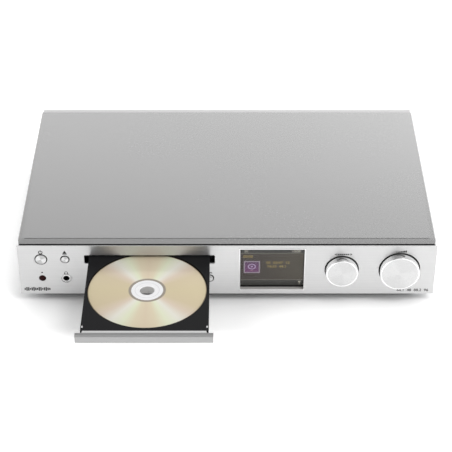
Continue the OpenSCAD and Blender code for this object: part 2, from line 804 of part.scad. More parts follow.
module clamp_bridge() {
    color("lightsteelblue") place() translate([tray_x, spindle_y, wall_top]) difference() {
        block([-wall_out, -bridge_w / 2, 0], [wall_out, bridge_w / 2, bridge_t]);
        translate([0, 0, -1]) cylinder(r = puck_hole_r, h = bridge_t + 2);
    }
}

module clamp_puck() {
    color("ivory") place() translate([tray_x, spindle_y, wall_top]) {
        translate([0, 0, -2]) cylinder(r = puck_hole_r - 0.4, h = bridge_t + 4);
        translate([0, 0, -2]) cylinder(r = puck_hole_r + 2, h = 1.7);
        translate([0, 0, bridge_t + 0.3]) cylinder(r = puck_hole_r + 2, h = 1.7);
    }
}

module loading_motor() {
    color("silver") place() translate([tray_x + motor_x, motor_y, deck_bottom - motor_h]) {
        cylinder(r = motor_r, h = motor_h);
        cylinder(r = 3.2, h = motor_h + 1.8);
    }
}

module motor_pulley() {
    color("ivory") place() translate([tray_x + motor_x, motor_y, deck_top + 0.2]) {
        cylinder(r = 1, h = pulley_z + pulley_t - deck_top);
        translate([0, 0, pulley_z - deck_top - 0.2]) cylinder(r = motor_pulley_r, h = pulley_t);
    }
}

// The belt's outline round both pulleys, a distance outside their radii
module belt_outline(outside) {
    hull() {
        translate([pulley_x, gear_y]) circle(pulley_r + outside);
        translate([motor_x, motor_y]) circle(motor_pulley_r + outside);
    }
}

module drive_belt() {
    belt_z = pulley_z + (pulley_t - belt_t) / 2;
    color("#202020") place() translate([tray_x, 0, belt_z]) linear_extrude(belt_t) difference() {
        belt_outline(belt_t + 0.1);
        belt_outline(0.1);
    }
}

module pulley_gear() {
    color("ivory") place() translate([tray_x + pulley_x, gear_y, 0]) difference() {
        union() {
            translate([0, 0, pulley_z]) cylinder(r = pulley_r, h = pulley_t);
            translate([0, 0, pulley_z]) cylinder(r = 4, h = wheel_z - pulley_z);
            translate([0, 0, wheel_z]) linear_extrude(wheel_t)
                rotate(180 / pinion_teeth) gear_outline(pinion_teeth, wheel_module);
        }
        cylinder(r = gear_hole_r, h = 80);
    }
}

module drive_gear() {
    color("ivory") place() translate([tray_x + gear_x, gear_y, 0]) difference() {
        union() {
            translate([0, 0, wheel_z]) linear_extrude(wheel_t) gear_outline(wheel_teeth, wheel_module);
            translate([0, 0, wheel_z]) cylinder(r = 5, h = rack_gear_z - wheel_z);
            translate([0, 0, rack_gear_z]) linear_extrude(rack_gear_t)
                gear_outline(rack_gear_teeth, rack_module);
        }
        cylinder(r = gear_hole_r, h = 80);
    }
}

// Places what rides on the traverse: modelled in its playing position, it lies tilted down
module on_traverse() {
    place() translate([tray_x, pivot_y, pivot_z]) rotate([tilt, 0, 0]) translate([0, -pivot_y, -pivot_z])
        children();
}

module traverse_frame() {
    color("#4a4a50") on_traverse() {
        difference() {
            union() {
                block([-traverse_half, traverse_front, traverse_z],
                      [traverse_half, pivot_y - 3, traverse_z + traverse_t]);
                for (i = [-1, 1])
                    block([i * (traverse_half - 4) - 4, pivot_y - 6, traverse_z],
                          [i * (traverse_half - 4) + 4, pivot_y + 3, traverse_z + traverse_t]);
                rod_x(-traverse_half - 5, pivot_y, pivot_z, pivot_r, 2 * traverse_half + 10);
                for (x = [rod_left, rod_right], y = [rod_front - 4, rod_back])
                    block([x - 3, y, traverse_z], [x + 3, y + 4, rod_z + 3]);
                block([screw_x - 3, rod_back, traverse_z], [screw_x + 3, rod_back + 3, rod_z + 3]);
                block([screw_x - 4.5, rod_front - 3, traverse_z],
                      [screw_x + 4.5, rod_front - 1.5, rod_z + 4]);
                block([-4, traverse_front, traverse_z], [4, traverse_front + 3, cam_pin_z + 2.5]);
                rod_y(0, cam_y - 0.5, cam_pin_z, cam_pin_r, traverse_front - cam_y + 1);
            }
            block([rod_left + 4, spindle_y + 13.4, traverse_z - 1],
                  [rod_right - 4, rod_back - 2, traverse_z + 9]);
            translate([0, spindle_y, 0]) cylinder(r = 3, h = 60);
            for (x = [rod_left, rod_right])
                rod_y(x, rod_front - 3, rod_z, rod_r + 0.02, rod_back - rod_front + 6);
            rod_y(screw_x, rod_back - 1, rod_z, rod_r + shaft_gap, 3);
            rod_y(screw_x, rod_front - 4, rod_z, rod_r + shaft_gap, 3);
            block([screw_x - feed_motor_r - 0.3, rod_front - feed_motor_l - 4, 0],
                  [screw_x + feed_motor_r + 0.3, rod_front - 3, rod_z + feed_motor_r + 1]);
        }
    }
}

// The sliding cam: its sloping slot lifts the pin at the front of the traverse
module lift_cam() {
    slope_len = (cam_pin_z - cam_rest_z + 0.3) * sqrt(2);
    color("ivory") place() translate([tray_x, cam_y + cam_t, 0]) rotate([90, 0, 0]) linear_extrude(cam_t)
        difference() {
            translate([-cam_rise - 6, deck_top + 0.3]) square([cam_rise + 12, cam_pin_z + 3.2 - deck_top]);
            translate([0, cam_rest_z]) {
                circle(cam_slot_r);
                rotate(135) translate([0, -cam_slot_r]) square([slope_len, 2 * cam_slot_r]);
                rotate(135) translate([slope_len, 0]) circle(cam_slot_r);
            }
        }
}

module spindle_motor() {
    color("silver") on_traverse() translate([0, spindle_y, 0]) {
        translate([0, 0, traverse_z - 10]) cylinder(r = 12.5, h = 10);
        translate([0, 0, traverse_z - eps]) cylinder(r = 2.8, h = traverse_t + 0.8);
    }
}

module turntable() {
    color("#303034") on_traverse() translate([0, spindle_y, 0]) {
        hub_low = traverse_z + traverse_t + 1.1;
        flange_top = disc_bottom - 0.3;
        translate([0, 0, hub_low]) cylinder(r = 7, h = flange_top - hub_low);
        translate([0, 0, flange_top - 2]) cylinder(r = 15, h = 2);
        translate([0, 0, flange_top - eps]) cylinder(r1 = hub_r - 0.4, r2 = hub_r - 2, h = 2.1);
    }
}

module guide_rods() {
    color("silver") on_traverse() for (x = [rod_left, rod_right])
        rod_y(x, rod_front - 3, rod_z, rod_r, rod_back - rod_front + 6);
}

module pickup_sled() {
    color("#2a2a2e") on_traverse() translate([0, lens_y, 0]) difference() {
        union() {
            block([rod_left - 3.5, -sled_half, rod_z - 2.4], [screw_x + 3, sled_half, rod_z + 2.4]);
            block([rod_left + 5, -11, traverse_z - 5], [rod_right - 5, 11, rod_z]);
            translate([0, 0, rod_z]) cylinder(r = 6, h = 3.6);
            translate([0, 0, rod_z]) cylinder(r = 2.6, h = 4.4);
        }
        for (x = [rod_left, rod_right, screw_x])
            rod_y(x, -sled_half - 1, rod_z, rod_r + shaft_gap, 2 * sled_half + 2);
    }
}

module feed_motor() {
    color("silver") on_traverse()
        rod_y(screw_x, rod_front - feed_motor_l - 3, rod_z, feed_motor_r, feed_motor_l);
}

module feed_screw() {
    color("gray") on_traverse() rod_y(screw_x, rod_front - 2.7, rod_z, rod_r, rod_back - rod_front + 4.4);
}

// ---- Electronics and rear sockets ----

module main_board() {
    color("seagreen") place() difference() {
        translate([main_board_x, main_board_y, board_level]) cube([main_board_w, main_board_l, board_t]);
        for (p = main_pillars())
            translate([p[0], p[1], 0]) cylinder(r = screw_hole_r + 0.3, h = 20);
    }
}

module board_chips() {
    color("#222222") place() translate([main_board_x, main_board_y, board_level + board_t]) {
        translate([40, 30, 0]) cube([24, 24, 2]);
        translate([90, 35, 0]) cube([14, 20, 1.6]);
        translate([75, 85, 0]) cube([16, 10, 1.6]);
        for (i = [0 : 5])
            translate([30 + i * 14, 105, 0]) cylinder(r = 4, h = 11);
    }
}

module radio_module() {
    color("silver") place() translate([antenna_x - 30, case_d - 60, board_level + board_t])
        cube([42, 36, 7]);
}

module power_board() {
    color("peru") place() difference() {
        translate([power_board_x, power_board_y, board_level])
            cube([power_board_w, power_board_l, board_t]);
        for (p = power_pillars())
            translate([p[0], p[1], 0]) cylinder(r = screw_hole_r + 0.3, h = 20);
    }
}

module power_transformer() {
    color("goldenrod") place() translate([power_board_x + 14, power_board_y + 34, board_level + board_t]) {
        cube([24, 20, 22]);
        translate([-3, 3, 3]) cube([30, 14, 16]);
        translate([12, -14, 0]) cylinder(r = 8, h = 25);
    }
}

// The two-lobed outline of the mains inlet, grown by a clearance, along Y
module inlet_outline(y, length, grow) {
    for (i = [-1, 1])
        rod_y(inlet_x + i * inlet_pin_x, y, rear_socket_z, inlet_r + grow, length);
    block([inlet_x - inlet_pin_x, y, rear_socket_z - inlet_r - grow],
          [inlet_x + inlet_pin_x, y + length, rear_socket_z + inlet_r + grow]);
}

module mains_inlet() {
    color("black") place() {
        difference() {
            union() {
                inlet_outline(case_d - 14, 14.6, 0);
                block([inlet_x - 13, case_d - 18, board_level + board_t],
                      [inlet_x + 13, case_d - sheet_t - 0.1, rear_socket_z + 8]);
            }
            for (i = [-1, 1])
                rod_y(inlet_x + i * inlet_pin_x, case_d - inlet_deep, rear_socket_z, inlet_hole_r, 14);
            block([inlet_x - inlet_pin_x, case_d - inlet_deep, rear_socket_z - inlet_hole_r],
                  [inlet_x + inlet_pin_x, case_d + 2, rear_socket_z + inlet_hole_r]);
        }
        for (i = [-1, 1])
            rod_y(inlet_x + i * inlet_pin_x, case_d - inlet_deep - 0.5, rear_socket_z, 1.2, 10.5);
    }
}

// A round socket: a body on the board, a shoulder through the rear panel, and a bored sleeve
module round_socket(x, sleeve_r, sleeve_l, core_r, body_half) {
    difference() {
        union() {
            rod_y(x, case_d - 10, rear_socket_z, sleeve_r, 10 + sleeve_l);
            rod_y(x, case_d - 10, rear_socket_z, sleeve_r + shoulder_rim, 10 + shoulder_out);
            block([x - body_half, case_d - 15, board_level + board_t],
                  [x + body_half, case_d - sheet_t - 0.1, rear_socket_z + body_half]);
        }
        rod_y(x, case_d - 2, rear_socket_z, core_r, sleeve_l + 3);
    }
}

module line_out_jacks() {
    color("gold") place() for (p = [0, 1, 2])
        round_socket(line_out_x + p * line_out_pitch, line_out_r, line_out_l, line_out_core_r, 6);
}

module antenna_socket() {
    color("silver") place() round_socket(antenna_x, antenna_r, socket_out, antenna_core_r, 7);
}

bottom_chassis();
top_cover();
rear_panel();
fascia();
front_frame();
feet();
foot_screws();
cover_screws();
display_bezel();
display_window();
display_module();
ir_window();
ir_receiver();
standby_led();
headphone_jack();
headphone_ring();
power_button();
eject_button();
menu_button();
stop_button();
previous_button();
play_button();
next_button();
tact_switches();
control_board();
knob_board();
tuning_knob();
tuning_shaft();
tuning_plunger();
tuning_encoder();
volume_knob();
volume_shaft();
volume_encoder();
disc_tray();
drawer_front();
compact_disc();
loader_frame();
clamp_bridge();
clamp_puck();
loading_motor();
motor_pulley();
drive_belt();
pulley_gear();
drive_gear();
traverse_frame();
lift_cam();
spindle_motor();
turntable();
guide_rods();
pickup_sled();
feed_motor();
feed_screw();
main_board();
board_chips();
radio_module();
power_board();
power_transformer();
mains_inlet();
line_out_jacks();
antenna_socket();
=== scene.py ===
# %% [markdown]
# # A CD player with an open drawer
# The engineering model arrives as a fixed frame: every piece already has its size, its place and
# its joint. This lesson dresses it. Pieces that only need a finish keep their mesh, and pieces that
# catch the eye are modelled again, with broken edges, turned faces and printed marks.

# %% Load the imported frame
import json
import math

import bmesh
import bpy
from mathutils import Matrix, Vector

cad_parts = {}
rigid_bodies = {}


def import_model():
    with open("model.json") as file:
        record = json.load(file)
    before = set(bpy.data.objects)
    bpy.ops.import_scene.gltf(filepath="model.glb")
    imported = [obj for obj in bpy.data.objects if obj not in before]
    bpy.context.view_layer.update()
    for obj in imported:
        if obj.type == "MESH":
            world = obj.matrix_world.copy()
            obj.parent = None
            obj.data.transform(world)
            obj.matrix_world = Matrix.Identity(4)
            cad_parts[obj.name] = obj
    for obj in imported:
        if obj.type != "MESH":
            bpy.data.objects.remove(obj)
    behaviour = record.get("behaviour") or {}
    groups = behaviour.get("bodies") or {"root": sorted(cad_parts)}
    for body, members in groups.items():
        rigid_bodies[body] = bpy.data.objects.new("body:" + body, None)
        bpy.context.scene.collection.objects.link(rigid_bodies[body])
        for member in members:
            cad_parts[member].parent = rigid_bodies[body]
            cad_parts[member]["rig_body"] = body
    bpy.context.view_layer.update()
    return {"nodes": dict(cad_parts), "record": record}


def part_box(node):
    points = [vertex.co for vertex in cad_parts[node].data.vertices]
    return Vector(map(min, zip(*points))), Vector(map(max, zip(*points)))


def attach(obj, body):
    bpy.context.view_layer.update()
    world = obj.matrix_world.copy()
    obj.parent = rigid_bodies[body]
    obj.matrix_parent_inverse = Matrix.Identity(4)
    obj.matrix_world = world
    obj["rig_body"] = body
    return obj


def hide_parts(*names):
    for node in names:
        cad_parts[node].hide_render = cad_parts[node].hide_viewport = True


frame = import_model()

MM = 0.001

# %% [markdown]
# ## The camera
# The player is seen from the front and well above, through a long lens, so its sides hardly
# converge. The view transform is the plain one, which keeps white paper white.

# %% Camera
EYE = (-0.00098, -1.29253, 0.97497)
LOOK_DOWN = 35.83

camera_data = bpy.data.cameras.new("camera")
camera_data.sensor_width = 36
camera_data.lens = 116.92
camera = bpy.data.objects.new("camera", camera_data)
camera.location = EYE
camera.rotation_euler = (math.radians(90 - LOOK_DOWN), 0, 0)
bpy.context.scene.collection.objects.link(camera)
bpy.context.scene.camera = camera
bpy.context.scene.view_settings.view_transform = "Standard"
print("camera", EYE, "lens", camera_data.lens)

# %% [markdown]
# ## Writing shaders as formulas
# A material is easier to read as a formula than as a web of nodes. `Value` wraps one socket and
# gives it Python's operators, and each operator adds a Math node. `Graph` adds every other node:
# its settings first, then the values or links of its sockets.


# %% Formula helpers
def operator(operation, swapped=False):
    """A method that adds the Math node which stands for a Python operator."""

    def method(self, *others):
        values = (*others, self) if swapped else (self, *others)
        return self.graph.node("ShaderNodeMath", {"operation": operation}, values)

    return method


class Value:
    """A number, colour or vector that is worked out at each point of a surface."""

    def __init__(self, graph, socket):
        self.graph = graph
        self.socket = socket

    __add__ = operator("ADD")
    __radd__ = operator("ADD", swapped=True)
    __sub__ = operator("SUBTRACT")
    __rsub__ = operator("SUBTRACT", swapped=True)
    __mul__ = operator("MULTIPLY")
    __rmul__ = operator("MULTIPLY", swapped=True)
    __truediv__ = operator("DIVIDE")
    __lt__ = operator("LESS_THAN")
    __gt__ = operator("GREATER_THAN")
    __abs__ = operator("ABSOLUTE")
    sine = operator("SINE")
    root = operator("SQRT")
    angle_to = operator("ARCTAN2")
    larger = operator("MAXIMUM")


class Graph:
    """A node tree that grows as its formulas are written."""

    def __init__(self, tree):
        self.tree = tree

    def plug(self, socket, value):
        """Links a Value to a socket, or sets the socket to a plain number or colour."""
        if isinstance(value, Value):
            self.tree.links.new(value.socket, socket)
        elif socket.type == "RGBA" and len(value) == 3:
            socket.default_value = (*value, 1)
        else:
            socket.default_value = value

    def node(self, kind, settings=None, sockets=(), out=0):
        """Adds one node, sets it up, fills its sockets by order or by name, and returns an output."""
        node = self.tree.nodes.new(kind)
        for name, value in (settings or {}).items():
            setattr(node, name, value)
        named = sockets if isinstance(sockets, dict) else dict(enumerate(sockets))
        for name, value in named.items():
            self.plug(node.inputs[name], value)
        return Value(self, node.outputs[out])

    def ramp(self, value, stops):
        """Colours along a value, from a list of (place, colour) stops."""
        node = self.tree.nodes.new("ShaderNodeValToRGB")
        elements = node.color_ramp.elements
        while len(elements) < len(stops):
            elements.new(1)
        for element, (place, colour) in zip(elements, stops):
            element.position = place
            element.color = (*colour, 1)
        self.plug(node.inputs[0], value)
        return Value(self, node.outputs[0])

    def mix(self, factor, first, second):
        """A colour between two colours."""
        return self.node("ShaderNodeMix", {"data_type": "RGBA"}, {0: factor, 6: first, 7: second}, 2)

    def step(self, value, low, high):
        """0 below low, 1 above high and a smooth rise between them."""
        settings = {"interpolation_type": "SMOOTHSTEP"}
        return self.node("ShaderNodeMapRange", settings, (value, low, high, 0.0, 1.0))


class Finish(Graph):
    """A material with one Principled surface. Its constants are set on the surface's own sockets."""

    def __init__(self, name, **constants):
        self.material = bpy.data.materials.new(name)
        self.material.use_nodes = True
        super().__init__(self.material.node_tree)
        self.surface = self.tree.nodes["Principled BSDF"]
        for socket, value in constants.items():
            self.set(socket, value)

    def set(self, socket, value):
        """Sets or links a socket of the surface. Base_Color stands for Base Color."""
        self.plug(self.surface.inputs[socket.replace("_", " ")], value)

    def coordinates(self, centre=(0, 0, 0), stretch=(1, 1, 1)):
        """The object's own coordinates, moved so that centre is zero and then scaled."""
        place = self.node("ShaderNodeTexCoord", out=3)
        move = {0: place, 1: [-c for c in centre]}
        centred = self.node("ShaderNodeVectorMath", {"operation": "ADD"}, move)
        return self.node("ShaderNodeMapping", sockets={0: centred, 3: stretch})

    def split(self, vector):
        """The three numbers of a vector."""
        node = self.tree.nodes.new("ShaderNodeSeparateXYZ")
        self.plug(node.inputs[0], vector)
        return [Value(self, output) for output in node.outputs]

    def noise(self, vector, scale, detail=2.0, roughness=0.5):
        """Soft noise from 0 to 1."""
        sockets = {"Vector": vector, "Scale": scale, "Detail": detail, "Roughness": roughness}
        return self.node("ShaderNodeTexNoise", sockets=sockets)

    def cells(self, vector, scale, out=0):
        """Cells like crystals: their distance, or their own random colour with out=1."""
        sockets = {"Vector": vector, "Scale": scale}
        return self.node("ShaderNodeTexVoronoi", sockets=sockets, out=out)

    def bump(self, height, depth):
        """Raises the surface by a height from 0 to 1, times a depth in metres."""
        sockets = {"Height": height, "Distance": depth, "Strength": 1.0}
        self.set("Normal", self.node("ShaderNodeBump", sockets=sockets))


print("formula helpers are ready")

# %% [markdown]
# ## Metals
# Rolled, brushed and turned metal look alike from far off. What tells them apart is the direction
# of their fine scratches: along the plate, or in rings round the axis of the lathe. The scratches
# go into the roughness and into a very shallow bump.


# %% Brushed and plated metal
def brushed(name, colour, roughness, along, spread, depth=0.00001):
    """Metal brushed along X, which blurs reflections across the scratches and not along them."""
    metal = Finish(name, Metallic=1.0, Anisotropic=0.8, Anisotropic_Rotation=0.25)
    place = metal.coordinates(stretch=along)
    streaks = metal.noise(place, 1.0, 5.0, 0.6)
    cloud = metal.noise(metal.coordinates(), 9.0, 2.0)
    dark = tuple(channel * (1 - spread) for channel in colour)
    light = tuple(min(1, channel * (1 + spread)) for channel in colour)
    metal.set("Base_Color", metal.mix(metal.step(streaks, 0.3, 0.7), dark, light))
    metal.set("Roughness", roughness * (0.8 + 0.25 * streaks + 0.15 * cloud))
    metal.bump(streaks, depth)
    return metal


def plated(name, colour, roughness, grain=400.0, depth=0.000004):
    """Smooth plated or drawn metal with a faint orange-peel grain and handling marks."""
    metal = Finish(name, Metallic=1.0)
    grains = metal.noise(metal.coordinates(), grain, 3.0)
    smudge = metal.noise(metal.coordinates(), 60.0, 4.0, 0.6)
    dull = tuple(channel * 0.9 for channel in colour)
    metal.set("Base_Color", metal.mix(metal.step(smudge, 0.35, 0.75), colour, dull))
    metal.set("Roughness", roughness + 0.1 * metal.step(smudge, 0.45, 0.8))
    metal.bump(grains, depth)
    return metal


def galvanised(name, colour):
    """Zinc-coated sheet with its frosty crystals."""
    metal = Finish(name, Metallic=0.9)
    place = metal.coordinates()
    crystal = metal.split(metal.cells(place, 130.0, out=1))[0]
    fine = metal.noise(place, 900.0, 3.0)
    dark = tuple(channel * 0.82 for channel in colour)
    metal.set("Base_Color", metal.mix(crystal, dark, colour))
    metal.set("Roughness", 0.34 + 0.2 * crystal + 0.06 * fine)
    metal.bump(fine, 0.000006)
    return metal


print("metals are ready")

# %% [markdown]
# ## Turned faces
# A knob's face is faced off on a lathe, which leaves rings about a tenth of a millimetre apart.
# Light runs across such rings as two soft fans, and here they are painted into the colour as two
# darker sectors, a painted reflection. The rings are a sine of the distance from the knob's axis, so
# each knob needs its own centre.


# %% Turned metal
def turned(name, centre, colour, roughness, pitch=0.00022, painted_fan_depth=0.06):
    """Metal turned round an axis along Y, with fine rings and two painted reflection fans in its
    colour.
    """
    metal = Finish(name, Metallic=1.0)
    place = metal.coordinates(centre)
    x, _, z = metal.split(place)
    radius = (x * x + z * z).root()
    rings = (radius * (math.tau / pitch)).sine() * 0.5 + 0.5
    chatter = metal.noise(metal.coordinates(centre, (300, 300, 300)), 1.0, 3.0)
    # The two fans are painted into the base colour by angle round the axis: a painted reflection.
    painted_fan = ((x.angle_to(z) + 0.35) * 2.0).sine() * 0.5 + 0.5
    painted_fan = metal.step(painted_fan, 0.15, 0.85)
    dark = tuple(channel * (1 - painted_fan_depth) for channel in colour)
    metal.set("Base_Color", metal.mix(painted_fan, colour, dark))
    metal.set("Roughness", roughness * (0.85 + 0.15 * rings + 0.2 * chatter))
    metal.bump(rings * 0.6 + chatter * 0.4, 0.000006)
    return metal


print("turned metal is ready")

# %% [markdown]
# ## Plastics, paint and boards
# Moulded plastic takes the texture of its mould, a fine even pebble. Paint with metal flake is
# part mirror and part matt. A circuit board shows its copper tracks as darker and lighter green.


# %% Plastics and paint
def moulded(name, colour, roughness, grain=1400.0, depth=0.00002, variation=0.12, specular=0.2):
    """Moulded plastic with a pebbled texture and slightly uneven gloss."""
    plastic = Finish(name, Specular_IOR_Level=specular)
    place = plastic.coordinates()
    pebble = plastic.noise(place, grain, 3.0)
    cloud = plastic.noise(place, 35.0, 3.0)
    dark = tuple(channel * (1 - variation) for channel in colour)
    light = tuple(min(1, channel * (1 + variation)) for channel in colour)
    plastic.set("Base_Color", plastic.mix(cloud, dark, light))
    plastic.set("Roughness", roughness + 0.12 * (pebble - 0.5) + 0.08 * cloud)
    plastic.bump(pebble, depth)
    return plastic


def flake_paint(name, colour, roughness, metallic):
    """Satin paint with metal flake over folded sheet."""
    paint = Finish(name, Metallic=metallic)
    place = paint.coordinates()
    flake = paint.split(paint.cells(place, 2600.0, out=1))[0]
    grain = paint.noise(paint.coordinates(stretch=(40, 700, 700)), 1.0, 4.0, 0.6)
    cloud = paint.noise(place, 6.0, 2.0)
    dark = tuple(channel * 0.94 for channel in colour)
    light = tuple(min(1, channel * 1.06) for channel in colour)
    paint.set("Base_Color", paint.mix(flake * 0.5 + grain * 0.5, dark, light))
    paint.set("Roughness", roughness + 0.08 * (flake - 0.5) + 0.05 * cloud)
    paint.bump(grain * 0.6 + flake * 0.4, 0.000003)
    return paint


def lacquer(name, colour, roughness, coat=0.6, specular=0.5):
    """Clear, hard and glossy, with a faint unevenness."""
    gloss = Finish(name, Coat_Weight=coat, Specular_IOR_Level=specular)
    haze = gloss.noise(gloss.coordinates(), 220.0, 3.0)
    deep = tuple(channel * 0.7 for channel in colour)
    gloss.set("Base_Color", gloss.mix(haze, deep, colour))
    gloss.set("Roughness", roughness + 0.05 * haze)
    gloss.bump(haze, 0.000002)
    return gloss


def board(name, mask, copper):
    """A printed circuit board: solder mask over tracks, with tinned pads."""
    laminate = Finish(name)
    x, y, z = laminate.split(laminate.coordinates())
    lanes = laminate.noise(laminate.coordinates(stretch=(60, 60, 60)), 1.0, 0.0)
    bands = ((lanes * 60.0).sine() * 0.5 + 0.5) > 0.62
    pads = laminate.cells(laminate.coordinates(), 260.0) < 0.16
    weave = ((x * 5200.0).sine() * (y * 5200.0).sine() * (z * 5200.0).sine()) * 0.5 + 0.5
    green = laminate.mix(bands, mask, copper)
    laminate.set("Base_Color", laminate.mix(pads, green, (0.62, 0.6, 0.55)))
    laminate.set("Metallic", pads * 0.8)
    laminate.set("Roughness", 0.38 + 0.1 * weave - 0.1 * pads)
    laminate.bump(bands.larger(pads), 0.00003)
    return laminate


print("plastics, paint and boards are ready")

# %% [markdown]
# ## The compact disc
# The disc's foil carries millions of pits in a spiral, and they split light into fans of colour
# that stand along the line between the viewer and the lamp. Here the fans are painted into the
# foil's colour at fixed angles round the disc, a painted reflection: two opposite pairs that go
# through green, silver and pink, over a champagne foil. Towards the middle come a grey mirror band,
# and the white printed ring round the hole.


# %% Disc finish
DISC_LOW, DISC_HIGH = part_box("compact_disc")
DISC_CENTRE = (DISC_LOW + DISC_HIGH) / 2
DISC_R = (DISC_HIGH.x - DISC_LOW.x) / 2
HUB_R = 0.0161
PRINTED_LINE_R = 0.0122
MIRROR_BAND = (0.0180, 0.0196)
FOIL_END_R = 0.0592


def disc_foil(name):
    """Champagne foil with painted fans of diffracted light, a grey mirror band and a white hub."""
    foil = Finish(name)
    x, y, _ = foil.split(foil.coordinates(DISC_CENTRE))
    radius = (x * x + y * y).root()
    turn = abs(x).angle_to(abs(y)) / (math.pi / 2)
    spread = foil.noise(foil.coordinates(DISC_CENTRE), 22.0, 2.0)
    # The ramp paints the diffraction fans into the colour by angle round the disc: a painted
    # reflection.
    bands = foil.ramp(turn + 0.04 * (spread - 0.5), [
        (0.00, (0.74, 0.62, 0.45)),
        (0.13, (0.76, 0.67, 0.48)),
        (0.26, (0.80, 0.83, 0.62)),
        (0.40, (0.84, 0.82, 0.73)),
        (0.54, (0.73, 0.61, 0.49)),
        (0.70, (0.66, 0.55, 0.36)),
        (1.00, (0.66, 0.56, 0.35)),
    ])
    spiral = foil.node("ShaderNodeCombineXYZ", sockets=(radius * 3000.0, 0.0, 0.0))
    grooves = foil.noise(spiral, 1.0, 2.0)
    foil_with_painted_fans = foil.mix(0.12 * grooves, bands, (0.9, 0.85, 0.7))
    mirror = (1 - foil.step(radius, *MIRROR_BAND)) * (radius > HUB_R)
    hub = radius < HUB_R
    rim = radius > FOIL_END_R
    colour = foil.mix(mirror, foil_with_painted_fans, (0.33, 0.29, 0.24))
    colour = foil.mix(hub, colour, (0.88, 0.88, 0.89))
    faint = (abs(radius - PRINTED_LINE_R) < 0.0003) * hub
    colour = foil.mix(faint, colour, (0.7, 0.7, 0.72))
    colour = foil.mix(rim, colour, (0.30, 0.24, 0.15))
    foil.set("Base_Color", colour)
    foil.set("Metallic", (1 - hub) * 0.15)
    foil.set("Roughness", 0.30 - 0.1 * mirror + 0.05 * grooves)
    foil.set("Coat Weight", 0.35)
    foil.bump(grooves, 0.000001)
    return foil


print("disc radius", round(DISC_R, 4))

# %% [markdown]
# ## One finish for each material slot
# The record names the finish of every node. The same names pick the Blender finishes, so nothing
# is left bare, and a hidden piece is dressed as carefully as its neighbours need.

# %% Finishes by slot
FINISHES = {
    "zinc_steel": galvanised("zinc_steel", (0.62, 0.64, 0.66)),
    "cover_paint": flake_paint("cover_paint", (0.5, 0.5, 0.5), 0.21, 0.85),
    "rear_paint": flake_paint("rear_paint", (0.76, 0.76, 0.76), 0.45, 0.6),
    "brushed_aluminium": brushed(
        "brushed_aluminium", (0.72, 0.72, 0.72), 0.42, along=(9, 1500, 1500), spread=0.03,
    ),
    "black_plastic": moulded("black_plastic", (0.012, 0.012, 0.013), 0.5),
    "foot_plastic": moulded("foot_plastic", (0.03, 0.03, 0.03), 0.6, 900.0, 0.00004),
    "screw_steel": plated("screw_steel", (0.42, 0.42, 0.43), 0.3),
    "bright_trim": plated("bright_trim", (0.74, 0.74, 0.74), 0.12),
    "satin_trim": moulded("satin_trim", (0.45, 0.44, 0.43), 0.4, 900.0, 0.000005, 0.04, 0.5),
    "red_lens": lacquer("red_lens", (0.022, 0.002, 0.002), 0.2, 0.0, 0.09),
    "led_clear": lacquer("led_clear", (0.012, 0.012, 0.014), 0.2, 0.1, 0.3),
    "circuit_board": board("circuit_board", (0.015, 0.13, 0.05), (0.03, 0.24, 0.09)),
    "brown_board": board("brown_board", (0.28, 0.15, 0.05), (0.36, 0.2, 0.08)),
    "knob_aluminium": plated("knob_aluminium", (0.86, 0.86, 0.86), 0.2),
    "steel_shaft": plated("steel_shaft", (0.6, 0.6, 0.6), 0.2),
    "white_plastic": moulded("white_plastic", (0.74, 0.72, 0.65), 0.4, 900.0, 0.00001, 0.05),
    "tray_plastic": moulded("tray_plastic", (0.01, 0.01, 0.011), 0.45, 1600.0, 0.000015, specular=0.12),
    "silver_plastic": flake_paint("silver_plastic", (0.35, 0.35, 0.35), 0.36, 0.75),
    "light_silver": flake_paint("light_silver", (0.74, 0.74, 0.74), 0.4, 0.6),
    "disc_foil": disc_foil("disc_foil"),
    "loader_plastic": moulded("loader_plastic", (0.03, 0.03, 0.033), 0.48),
    "motor_steel": plated("motor_steel", (0.62, 0.62, 0.62), 0.22),
    "belt_rubber": moulded("belt_rubber", (0.015, 0.015, 0.015), 0.75, 2200.0, 0.00002),
    "chip_plastic": moulded("chip_plastic", (0.02, 0.02, 0.021), 0.55, 2600.0, 0.00002),
    "tin_shield": plated("tin_shield", (0.7, 0.69, 0.66), 0.25, 150.0, 0.00001),
    "transformer_tape": lacquer("transformer_tape", (0.75, 0.52, 0.05), 0.25),
    "gold_plate": plated("gold_plate", (0.85, 0.6, 0.22), 0.15),
    "button_metal": plated("button_metal", (0.72, 0.72, 0.72), 0.22),
    "display_glass": moulded("display_glass", (0.012, 0.012, 0.012), 0.35),
}


def window_clear(name):
    """A clear window: mostly see-through, with a faint uneven haze in its tint and clearness."""
    clear = Finish(name, Roughness=0.04)
    haze = clear.noise(clear.coordinates(), 90.0, 2.0)
    clear.set("Base_Color", clear.mix(haze, (0.02, 0.02, 0.022), (0.05, 0.05, 0.05)))
    clear.set("Alpha", 0.06 + 0.04 * haze)
    return clear


FINISHES["window_clear"] = window_clear("window_clear")
slots = {part["node"]: part["material_slot"] for part in frame["record"]["subparts"]}
for node, piece in frame["nodes"].items():
    piece.data.materials.clear()
    piece.data.materials.append(FINISHES[slots[node]].material)
print("finishes", len(FINISHES), "nodes dressed", len(slots))

# %% [markdown]
# ## Making pieces
# A piece starts as a bmesh. It is either traced from its CAD node, so that it fits exactly, or
# turned on a lathe from a short outline. `finish_piece` closes it, smooths what is round, and ties
# it to the body that it moves with. A flat face keeps an even shade when its edges count as sharp
# from a small angle on.


# %% Mesh helpers
FLAT_SHARP = 12


def body_of(node):
    """The body that a CAD node rides on."""
    return frame["nodes"][node]["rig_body"]


